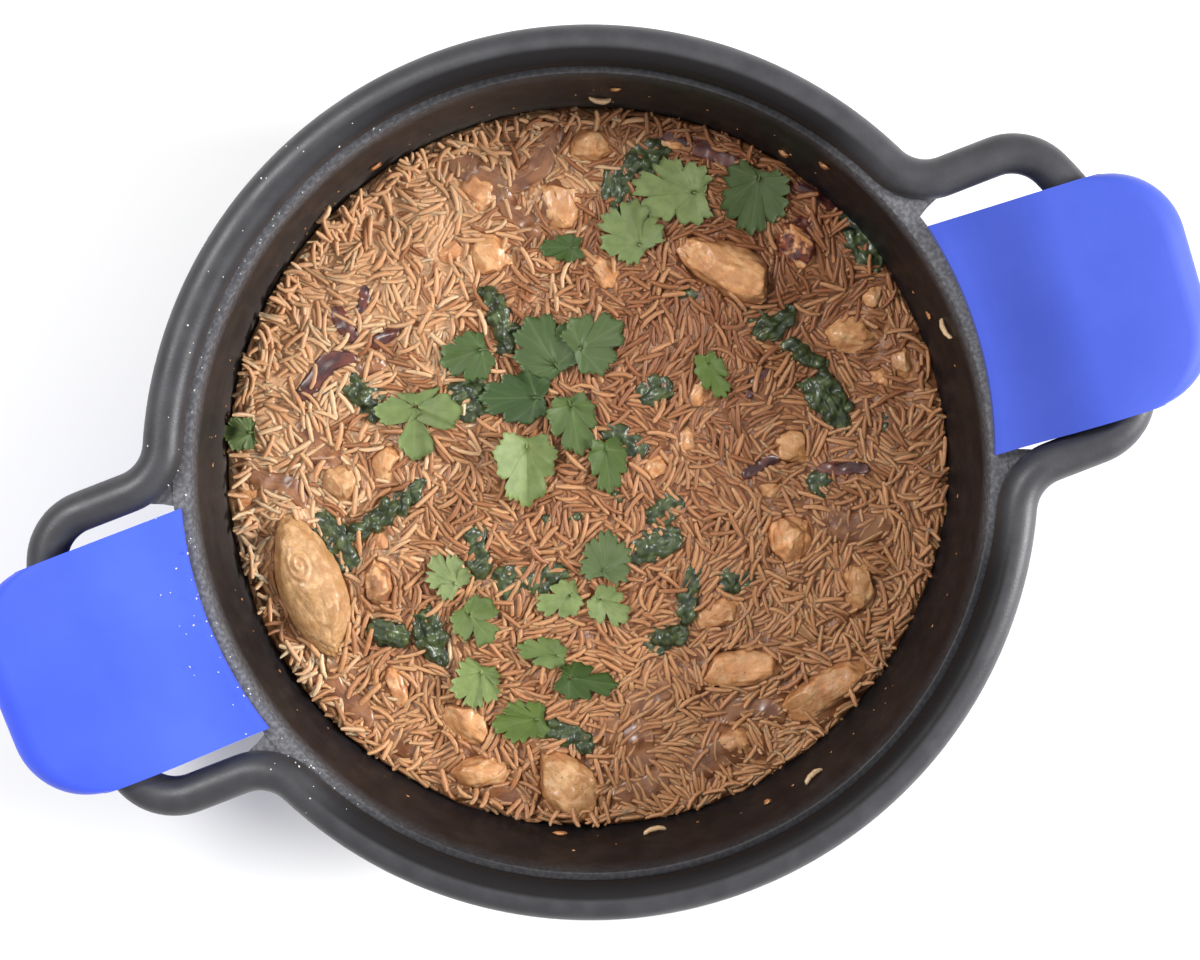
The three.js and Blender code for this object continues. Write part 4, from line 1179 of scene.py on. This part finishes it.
def loose_lump(x, y, length, width, turn, rise, sink):
    """A rough lump that is bedded in the rice."""
    rows, steps = 8, 16
    up = np.linspace(-math.pi / 2, math.pi / 2, rows + 2)[1:-1, None]
    turns = (np.arange(steps) / steps * 2 * math.pi)[None, :]
    boxy = (np.abs(np.cos(turns)) ** 3 + np.abs(np.sin(turns)) ** 3) ** (-1 / 3)
    own_x = length / 2 * np.cos(up) * np.cos(turns) * boxy
    own_y = width / 2 * np.cos(up) * np.sin(turns) * boxy
    px, py = turned(own_x, own_y, turn)
    base = level[surface.index(np.array([x]))[0], surface.index(np.array([y]))[0]]
    pz = base + rise * (0.5 + 0.5 * np.sin(up)) - sink + 0 * turns
    points = np.stack([x + px, y + py, pz], -1).reshape(-1, 3)
    ends = [(x, y, base - sink), (x, y, base - sink + rise)]
    return np.vstack([points, ends]), capped_faces(rows, steps)


def joined(name, solids):
    """One object of many separate solids, each given as its points and faces."""
    starts = np.cumsum([0] + [len(points) for points, _ in solids[:-1]])
    faces = np.vstack([faces + start for start, (_, faces) in zip(starts, solids)])
    return new_object(name, np.vstack([points for points, _ in solids]), faces)


def bits_object(name, bits, rise, sink, voxel, relief, cuts=0):
    """Small pieces of one kind, each rounded and roughened on its own and then joined."""
    solids = []
    for number, (x, y, length, width, turn) in enumerate(bits):
        points, faces = loose_lump(x, y, length, width, turn, rise, sink)
        bit = refine(new_object("bit", points, faces), voxel, 4)
        shaped(bit, relief(number), cuts=knife_cuts(cuts, number))
        own = np.empty(3 * len(bit.data.vertices), np.float32)
        bit.data.attributes["own_place"].data.foreach_get("vector", own)
        solids.append((points_of(bit), triangles_of(bit), own.reshape(-1, 3)))
        bpy.data.objects.remove(bit)
    obj = joined(name, [(points, faces) for points, faces, _ in solids])
    note_vector(obj, "own_place", np.vstack([own for _, _, own in solids]))
    return obj


def make_chicken_bits(finish):
    bits = bits_object(
        "chicken_shreds", CHICKEN_BITS, rise=5.5, sink=2.2, voxel=0.7,
        relief=lambda number: meat_relief(400 + number, 8, 1.2, 0.5), cuts=5,
    )
    note_meat(bits, 0.3, 0.6)
    place_piece(bits, finish)
    surface.lay_object(bits)


def crumpled_relief(seed, depth):
    """Rounded folds with narrow creases between them, as in a wet wilted leaf."""
    def relief(p):
        bent = Vector((p.x + 1.6 * noise.noise(p / 5 + Vector((seed, 0, 0))), p.y, p.z))
        fold = min(1, 3 * abs(noise.noise(bent / 5.2 + Vector((0, seed, 0)))))
        crease = min(1, 3 * abs(noise.noise(Vector((bent.x / 5, bent.y / 1.7, bent.z / 3 + seed)))))
        ragged = noise.noise(Vector((p.x / 4, p.y / 4, seed)))
        return depth * (fold + 0.5 * crease - 0.65 + 1.7 * ragged)
    return relief


def make_greens(finish):
    for seed, name in enumerate(nodes_named("greens_")):
        piece = remeshed(name + "_leaf", name, 0.55, 4)
        shaped(piece, crumpled_relief(7 * seed + 3, 1.15))
        place_piece(piece, finish, [name])
        surface.lay_object(piece)


def make_green_bits(finish):
    bits = bits_object(
        "greens_shreds", GREEN_BITS, rise=3.7, sink=1.2, voxel=0.65,
        relief=lambda number: crumpled_relief(90 + 5 * number, 0.9),
    )
    place_piece(bits, finish)
    surface.lay_object(bits)


# ---------------------------------------------------------------- thin sheets: onion and coriander

def settled(z, floor, passes, wrap):
    """Drapes a sheet, given as a grid of heights, over a floor. A stiffer sheet takes more passes."""
    z = np.maximum(z, floor)
    for _ in range(passes):
        padded = np.pad(z, ((1, 1), (0, 0)), mode="edge")
        padded = np.pad(padded, ((0, 0), (1, 1)), mode="wrap" if wrap else "edge")
        mean = (padded[2:, 1:-1] + padded[:-2, 1:-1] + padded[1:-1, 2:] + padded[1:-1, :-2]) / 4
        z = np.maximum(mean, floor)
    return z


def sheet_solid(x, y, z, thickness, wrap):
    """A closed solid from a grid of points: both faces and the rim between them. A wrapped grid's rim faces
    inwards."""
    rows, columns = x.shape
    count = rows * columns
    upper = np.stack([x, y, z], -1).reshape(-1, 3)
    lower = upper - (0, 0, thickness)
    faces = grid_faces(rows, columns, close_columns=wrap)
    index = np.arange(count).reshape(rows, columns)
    if wrap:
        rims = [index[-1], index[0][::-1]]
    else:
        rims = [np.concatenate([index[0], index[1:, -1], index[-1, -2::-1], index[-2:0:-1, 0]])]
    sides = []
    for rim in rims:
        after = np.roll(rim, -1)
        sides.append(np.stack([rim, after, after + count], -1))
        sides.append(np.stack([rim, after + count, rim + count], -1))
    return np.vstack([upper, lower]), np.vstack([faces, faces[:, ::-1] + count, *sides])


def onion_strip(x, y, length, width, turn, bend, seed, sink):
    """A softened strip of onion, narrower at its ends, with its edges curled down."""
    rows, columns = 26, 9
    s = np.linspace(-1, 1, rows)[:, None]
    t = np.linspace(-1, 1, columns)[None, :]
    half = width / 2 * (0.25 + 0.75 * np.sqrt(np.clip(1 - s ** 4, 0, 1)))
    wander = np.array([noise.noise(Vector((1.4 * a, seed, 0))) for a in s.ravel()])[:, None]
    angle = bend * s / 2
    curved = np.sin(angle) / max(abs(bend) / 2, 1e-6) * np.sign(bend)
    own_x = length / 2 * np.where(abs(bend) > 0.01, curved, s)
    own_y = half * t + 0.25 * width * wander + length / 4 * bend * (s ** 2 - 0.5) / 2
    px, py = turned(own_x + 0 * t, own_y, turn)
    px, py = x + px, y + py
    floor = surface.height(px, py) + 0.15
    z = settled(surface.smoothed(px, py, 1.5), floor, 8, wrap=False) + 0.5 * (1 - t ** 2) - sink
    points, faces = sheet_solid(px, py, z, ONION_THICKNESS, wrap=False)
    own = np.stack(np.broadcast_arrays(length / 2 * s, half * t, 0 * s * t), -1).reshape(-1, 3) * MM
    return points, faces, np.vstack([own, own])


def make_onion_object(name, strips, finish, sink, nodes=()):
    solids = [onion_strip(*strip, seed=3.7 * k, sink=sink) for k, strip in enumerate(strips)]
    obj = joined(name, [(points, faces) for points, faces, _ in solids])
    note_vector(obj, "own_place", np.vstack([own for _, _, own in solids]))
    place_piece(obj, finish, nodes)
    surface.lay_object(obj, taken=False)


def node_strip(node):
    """Where an onion node lies: its middle, size and turn."""
    middle, own = own_axes(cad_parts[node])
    along = own_direction(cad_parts[node])
    size = own.max(0) - own.min(0)
    return middle[0], middle[1], size[0], size[1], math.degrees(math.atan2(along[1], along[0]))


def make_onions():
    amber = onion_finish("softened_onion", rgb(154, 104, 68), rgb(116, 71, 45))
    purple = onion_finish("browned_onion", rgb(112, 60, 48), rgb(62, 33, 36))
    for node, bend in (("onion_left", 0.9), ("onion_lower_left", -0.25)):
        make_onion_object(node + "_strip", [(*node_strip(node), bend)], amber, 0.5 * ONION_SINK, [node])
    bends = random.uniform(-0.9, 0.9, len(ONION_BITS) + len(PURPLE_BITS))
    make_onion_object("onion_strips", [(*s, b) for s, b in zip(ONION_BITS, bends)], amber, ONION_SINK)
    browned = [(*s, b) for s, b in zip(PURPLE_BITS, bends[::-1])]
    make_onion_object("onion_browned", browned, purple, 0.5 * ONION_SINK)


# Each leaf's middle, length, width and turn, its lobes, the depth of the slits between them, its shade from
# dark 0 to pale 1, how fresh a green it is, and how far its halves fold up.
CORIANDER = {
    "coriander_01": (68, 86, 37, 28, 149, 5, 0.24, 0.95, 0.2, 0.05),
    "coriander_02": (95, 74, 31, 30, -120, 5, 0.1, 0.25, 0.1, 0.05),
    "coriander_03": (45, 76, 28, 26, 120, 5, 0.22, 0.75, 0.2, 0.1),
    "coriander_04": (21, 81, 19, 11, 159, 3, 0.1, 0.05, 0.6, 0.1),
    "coriander_05": (-26, 57, 23, 21, 179, 3, 0.1, 0.15, 0.3, 0.05),
    "coriander_06": (1, 47, 32, 29, 100, 3, 0.1, 0.12, 0.1, 0.1),
    "coriander_07": (18, 45, 29, 27, 10, 3, 0.2, 0.2, 0.2, 0.05),
    "coriander_08": (-15, 35, 33, 22, 160, 3, 0.1, 0.0, 0.1, 0.1),
    "coriander_09": (1, 21, 27, 20, -100, 3, 0.22, 0.25, 0.5, 0.1),
    "coriander_10": (-21, 12, 31, 25, -111, 3, 0.1, 0.9, 0.3, 0.45),
    "coriander_11": (7, 1, 26, 16, -105, 3, 0.18, 0.22, 0.7, 0.15),
    "coriander_12": (-54, 42, 33, 37, -113, 3, 0.72, 0.7, 0.35, 0.05),
    "coriander_13": (-115, 60, 15, 15, 160, 5, 0.15, 0.35, 0.3, 0.1),
    "coriander_14": (56, 18, 24, 13, -85, 3, 0.3, 0.35, 1, 0.2),
    "coriander_15": (-7, -33, 24, 22, 60, 5, 0.1, 0.35, 0, 0.05),
    "coriander_16": (-27, -41, 20, 15, 180, 3, 0.45, 0.9, 0.3, 0.05),
    "coriander_17": (-13, -49, 20, 16, -60, 3, 0.45, 0.95, 0.2, 0.05),
    "coriander_18": (-64, -18, 20, 18, 110, 5, 0.25, 0.95, 0.1, 0.1),
    "coriander_19": (-61, -37, 24, 22, -70, 3, 0.5, 0.55, 0.5, 0.1),
    "coriander_20": (-40, -58, 24, 13, 145, 3, 0.25, 0.5, 0.5, 0.15),
    "coriander_21": (-32, -72, 27, 16, -31, 3, 0.45, 0.05, 0.8, 0.1),
    "coriander_22": (-68, -59, 22, 21, -125, 5, 0.2, 0.95, 0.4, 0.25),
    "coriander_23": (-57, -79, 25, 18, 165, 5, 0.12, 0.4, 0.9, 0.1),
}
LEAF_SPREAD = math.radians(155)
TOOTH_SPACING = 2.7
TOOTH_DEPTH = 1.05


def leaf_edge(angles, lobes, slit, seed):
    """How far a leaf's edge is from its middle, at angles from its tip: lobes and the slits between them."""
    lobe_width = 2 * LEAF_SPREAD / lobes
    lobe = np.clip(np.floor((angles + LEAF_SPREAD) / lobe_width), 0, lobes - 1)
    middle = -LEAF_SPREAD + (lobe + 0.5) * lobe_width
    share = np.clip((angles - middle) / lobe_width, -0.5, 0.5)
    edge = 1 - 0.6 * share ** 2 - 0.1 * np.abs(middle) / LEAF_SPREAD
    border = np.round((angles + LEAF_SPREAD) / lobe_width)
    cut = (0.5 - np.abs(share)) / (0.03 + 0.26 * slit ** 2)
    depth = slit * (1 + 0.4 * np.sin(4 * border + seed)) * (np.abs(angles) < LEAF_SPREAD - 0.2)
    edge -= depth * np.exp(-cut ** 2)
    edge *= (1 + 0.07 * np.sin(5.3 * lobe + seed)) * (1 - 0.12 * np.sin(3 * math.pi * share) ** 2)
    edge += 0.05 * np.sin(angles + 1.7 * seed) + 0.03 * np.sin(3 * angles + 2.3 * seed)
    back = smooth_step(LEAF_SPREAD - 0.1, math.pi, np.abs(angles))
    return edge * (1 - back) + 0.55 * back


def leaf_teeth(angles, length, width, seed):
    """The teeth along a leaf's edge, rounded and uneven, as a share of its half length."""
    count = round(math.pi * (length + width) / 2 / TOOTH_SPACING)
    wave = np.abs(np.sin(count * (angles + 0.05 * np.sin(5 * angles + seed)) / 2))
    depth = TOOTH_DEPTH * (1 + 0.4 * np.sin(3 * angles + seed)) * (np.abs(angles) < LEAF_SPREAD)
    return 2 * depth / length * (wave - 0.6)


def make_leaf(node, finish, seed):
    """A coriander leaf: a fan from the stalk out to its toothed edge, with puffed panels between veins."""
    x, y, length, width, turn, lobes, slit, tone, fresh, fold = CORIANDER[node]
    columns, rows = 240, 9
    angles = (np.arange(columns) + 0.5) / columns * 2 * math.pi - math.pi
    out = np.linspace(0.04, 1, rows)[:, None] ** 0.85
    edge = leaf_edge(angles, lobes, slit, seed) + out ** 12 * leaf_teeth(angles, length, width, seed)
    edge_x, edge_y = length / 2 * edge * np.cos(angles), width / 2 * edge * np.sin(angles)
    base_x = (-0.2 + 0.1 * slit) * length
    own_x = base_x + out * (edge_x - base_x)
    own_y = out * edge_y
    px, py = turned(own_x, own_y, turn)
    px, py = x + px, y + py
    lobe_share = ((angles + LEAF_SPREAD) / (2 * LEAF_SPREAD / lobes)) % 1 - 0.5
    inside = np.abs(angles) < LEAF_SPREAD
    main = np.exp(-((lobe_share * (0.3 + out) / 0.03) ** 2)) * inside
    branch = np.abs(np.abs(lobe_share) - 0.28 * out)
    fine = np.exp(-((branch * (0.3 + out) / 0.03) ** 2)) * smooth_step(0.2, 0.5, out) * inside
    vein = np.maximum(main * (1 - 0.4 * out), 0.5 * fine)
    scale = 9 / length
    places = zip(own_x.ravel(), own_y.ravel())
    curl = np.array([field(a * scale, b * scale, 4, seed) for a, b in places]).reshape(px.shape)
    floor = surface.between(blanket(surface.top), px, py) + 0.35
    z = settled(floor, floor, 30, wrap=True)
    z = z + 1.8 * out ** 2 * (curl + 0.25) + fold * np.abs(own_y) - 0.05 * vein
    points, faces = sheet_solid(px, py, z, CORIANDER_THICKNESS, wrap=True)
    stem_points, stem_faces = stem((x, y), turn, length / 2, float(z[0].mean()), seed)
    leaf = joined(node + "_leaf", [(points, faces), (stem_points, stem_faces)])
    count = len(points) + len(stem_points)
    note(leaf, "vein", np.concatenate([vein.ravel(), vein.ravel(), np.full(len(stem_points), 0.8)]))
    note(leaf, "tone", np.full(count, tone))
    note(leaf, "fresh", np.full(count, fresh))
    place_piece(leaf, finish, [node])
    surface.lay_object(leaf)


def stem(middle, turn, reach, height, seed):
    """The short thin stalk of a leaf, which lies on the rice. Its side faces inwards."""
    steps, sides = 7, 6
    share = np.linspace(0, 1, steps)
    own_x = -reach * (0.3 + 0.3 * share)
    own_y = 1.5 * math.sin(seed * 2.1) * share ** 2
    px, py = turned(own_x, own_y, turn)
    px, py = middle[0] + px, middle[1] + py
    z = np.maximum(surface.height(px, py) + 0.3, height - 0.6 * share)
    radius = STALK_RADIUS * (1 - 0.4 * share)
    turns = np.arange(sides) / sides * 2 * math.pi
    side = turned(0, 1, turn)
    points = np.stack([
        px[:, None] + radius[:, None] * np.cos(turns) * side[0],
        py[:, None] + radius[:, None] * np.cos(turns) * side[1],
        z[:, None] + radius[:, None] * np.sin(turns),
    ], -1).reshape(-1, 3)
    ends = [(px[0], py[0], z[0]), (px[-1], py[-1], z[-1])]
    loop = np.arange(sides)
    faces = np.vstack([
        grid_faces(steps, sides, close_columns=True)[:, ::-1],
        fan_faces(steps * sides, loop),
        fan_faces(steps * sides + 1, (steps - 1) * sides + loop)[:, ::-1],
    ])
    return np.vstack([points, ends]), faces


# ---------------------------------------------------------------- what clings to the pot

def wall_place(degrees, height, off):
    """A point that far off the inside of the wall."""
    radius = wall_radius(height) - off
    return radius * math.cos(math.radians(degrees)), radius * math.sin(math.radians(degrees)), height


def make_wall_grains():
    """Grains that stick flat to the wall."""
    rows = []
    for degrees, height in WALL_GRAINS:
        x, y, z = wall_place(degrees, height, 1.1)
        tilt = random.uniform(-0.6, 0.6)
        rows.append((x, y, z, math.radians(degrees + 90), math.tan(tilt), 9, 2.1, 1.2))
    obj = grain_mesh("rice_on_wall", np.array(rows), np.full(len(rows), 0.8))
    place_piece(obj, rice_finish("rice_on_wall_grains", *RICE_KINDS["rice_pale"]))


def speck(centre, out, size, flat):
    """A small rough crumb or drop, flattened against what carries it."""
    rows, steps = 4, 8
    up = np.linspace(-math.pi / 2, math.pi / 2, rows + 2)[1:-1, None]
    turns = (np.arange(steps) / steps * 2 * math.pi)[None, :]
    rough = 1 + 0.25 * random.normal(size=(rows, steps))
    ball = np.stack([
        np.cos(up) * np.cos(turns) * rough,
        np.cos(up) * np.sin(turns) * rough,
        np.sin(up) + 0 * turns,
    ], -1).reshape(-1, 3)
    ball = np.vstack([ball, [(0, 0, -1), (0, 0, 1)]])
    out = np.array(out) / np.linalg.norm(out)
    side = np.cross(out, (0.31, 0.2, 0.93))
    side /= np.linalg.norm(side)
    third = np.cross(out, side)
    stretch = random.uniform(0.7, 1.4)
    ball = ball[:, :1] * side * stretch + ball[:, 1:2] * third + flat * ball[:, 2:] * out
    points = centre + size / 2 * ball
    return points, capped_faces(rows, steps)


def make_wall_crumbs(finish):
    solids = []
    for degrees, height in WALL_CRUMBS:
        place = np.array(wall_place(degrees, height, 0.6))
        inward = (-place[0], -place[1], 0)
        solids.append(speck(place, inward, random.uniform(3, 5), 0.4))
    for _ in range(60):
        degrees, height = random.uniform(0, 360), random.uniform(60, 84)
        place = np.array(wall_place(degrees, height, 0.15))
        solids.append(speck(place, (-place[0], -place[1], 0), random.uniform(0.5, 1.3), 0.4))
    obj = joined("crumbs_on_wall", solids)
    note_meat(obj, 0.3, 0.8)
    note_vector(obj, "own_place", points_of(obj) * MM)
    place_piece(obj, finish)


def make_fat_specks():
    """Pale specks of fat on the lip and the roll, on the far left and the near left of the rim. Those by the
    handle hang above its cover, because they keep to the rim's circle, which the roll leaves there."""
    solids = []
    for start, end, count in ((100, 180, 60), (180, 215, 35)):
        for _ in range(count):
            turn = math.radians(random.uniform(start, end))
            radius = random.choice([random.uniform(140.8, 143.5), random.uniform(143.5, 156)], p=[0.7, 0.3])
            over = (radius - RIM_RADIUS) / ROLL_RADIUS
            on_roll = abs(over) < 0.95
            z = ROLL_HEIGHT + ROLL_RADIUS * math.sqrt(1 - over ** 2) if on_roll else LIP_HEIGHT
            out = (over * math.cos(turn), over * math.sin(turn), 1) if on_roll else (0, 0, 1)
            place = np.array([radius * math.cos(turn), radius * math.sin(turn), z])
            solids.append(speck(place, out, random.uniform(0.3, 0.7), 0.35))
    place_piece(joined("specks_of_fat", solids), fat_finish())


# ---------------------------------------------------------------- scene

def make_floor():
    size = 3000
    points = [(-size, -size, 0), (size, -size, 0), (size, size, 0), (-size, size, 0)]
    floor = new_object("floor", points, [(0, 1, 2), (0, 2, 3)])
    floor.data.materials.append(floor_finish())


def make_light(name, place, size, watts):
    """A square soft light that faces the pot."""
    lamp = bpy.data.lights.new(name, "AREA")
    lamp.size = size * MM
    lamp.energy = watts
    obj = bpy.data.objects.new(name, lamp)
    obj.location = Vector(place) * MM
    obj.rotation_euler = (Vector((0, 0, 60)) - Vector(place)).to_track_quat("-Z", "Y").to_euler()
    bpy.context.collection.objects.link(obj)


def make_studio():
    world = bpy.data.worlds.new("studio")
    world.use_nodes = True
    world.node_tree.nodes["Background"].inputs["Color"].default_value = (1, 1, 1, 1)
    world.node_tree.nodes["Background"].inputs["Strength"].default_value = 0.62
    bpy.context.scene.world = world
    make_light("key", (-500, 700, 1300), 420, 13)
    make_light("side", (1400, -540, 800), 600, 40)
    bpy.context.scene.view_settings.view_transform = "Standard"


def make_camera():
    data = bpy.data.cameras.new("camera")
    data.sensor_fit = "HORIZONTAL"
    data.sensor_width = 36
    data.lens = CAMERA_LENS
    data.clip_start, data.clip_end = 0.05, 20
    camera = bpy.data.objects.new("camera", data)
    camera.location = Vector(CAMERA_PLACE) * MM
    camera.rotation_euler = [math.radians(a) for a in CAMERA_TURN]
    bpy.context.collection.objects.link(camera)
    bpy.context.scene.camera = camera


make_camera()
make_studio()
make_floor()
make_pot()
# The right cover gets a darker blue than the left: painted shade, as the light falls off towards the right.
cover_colours_with_painted_shade = {
    "handle_cover_right": (rgb(52, 74, 178), rgb(58, 80, 184)),
    "handle_cover_left": (rgb(60, 88, 232), rgb(66, 94, 238)),
}
for cover_node, cover_seat in COVER_SEATS.items():
    make_cover(cover_node, cover_seat, silicone_finish(cover_node + "_colour", *cover_colours_with_painted_shade[cover_node]))

surface = Surface(140)
directions, rise = make_bundles()
level = rice_level() + rise
surface.top[:] = level - CORE_DEPTH
grains = []
meat = chicken_finish()
wilted = greens_finish()
make_chicken(meat)
make_chicken_bits(meat)
level = banked(level)
lay_grains(GRAIN_TRIES, crest=0.2, spread=0.38, steepest=0.6, over_food=0.35)
mush = blanket(np.where(surface.owner >= 0, surface.top, level)) - MUSH_DEPTH
make_core()
make_greens(wilted)
make_green_bits(wilted)
make_onions()
lay_grains(4000, crest=0.9, spread=0.5, steepest=0.6, over_food=0.25)
lay_grains(450, crest=3, spread=0.9, steepest=0.7, over_food=0.5)
lean_grains(330)
make_rice()
fresh = coriander_finish()
for seed, leaf_node in enumerate(CORIANDER):
    make_leaf(leaf_node, fresh, seed)
make_wall_grains()
make_wall_crumbs(meat)
make_fat_specks()
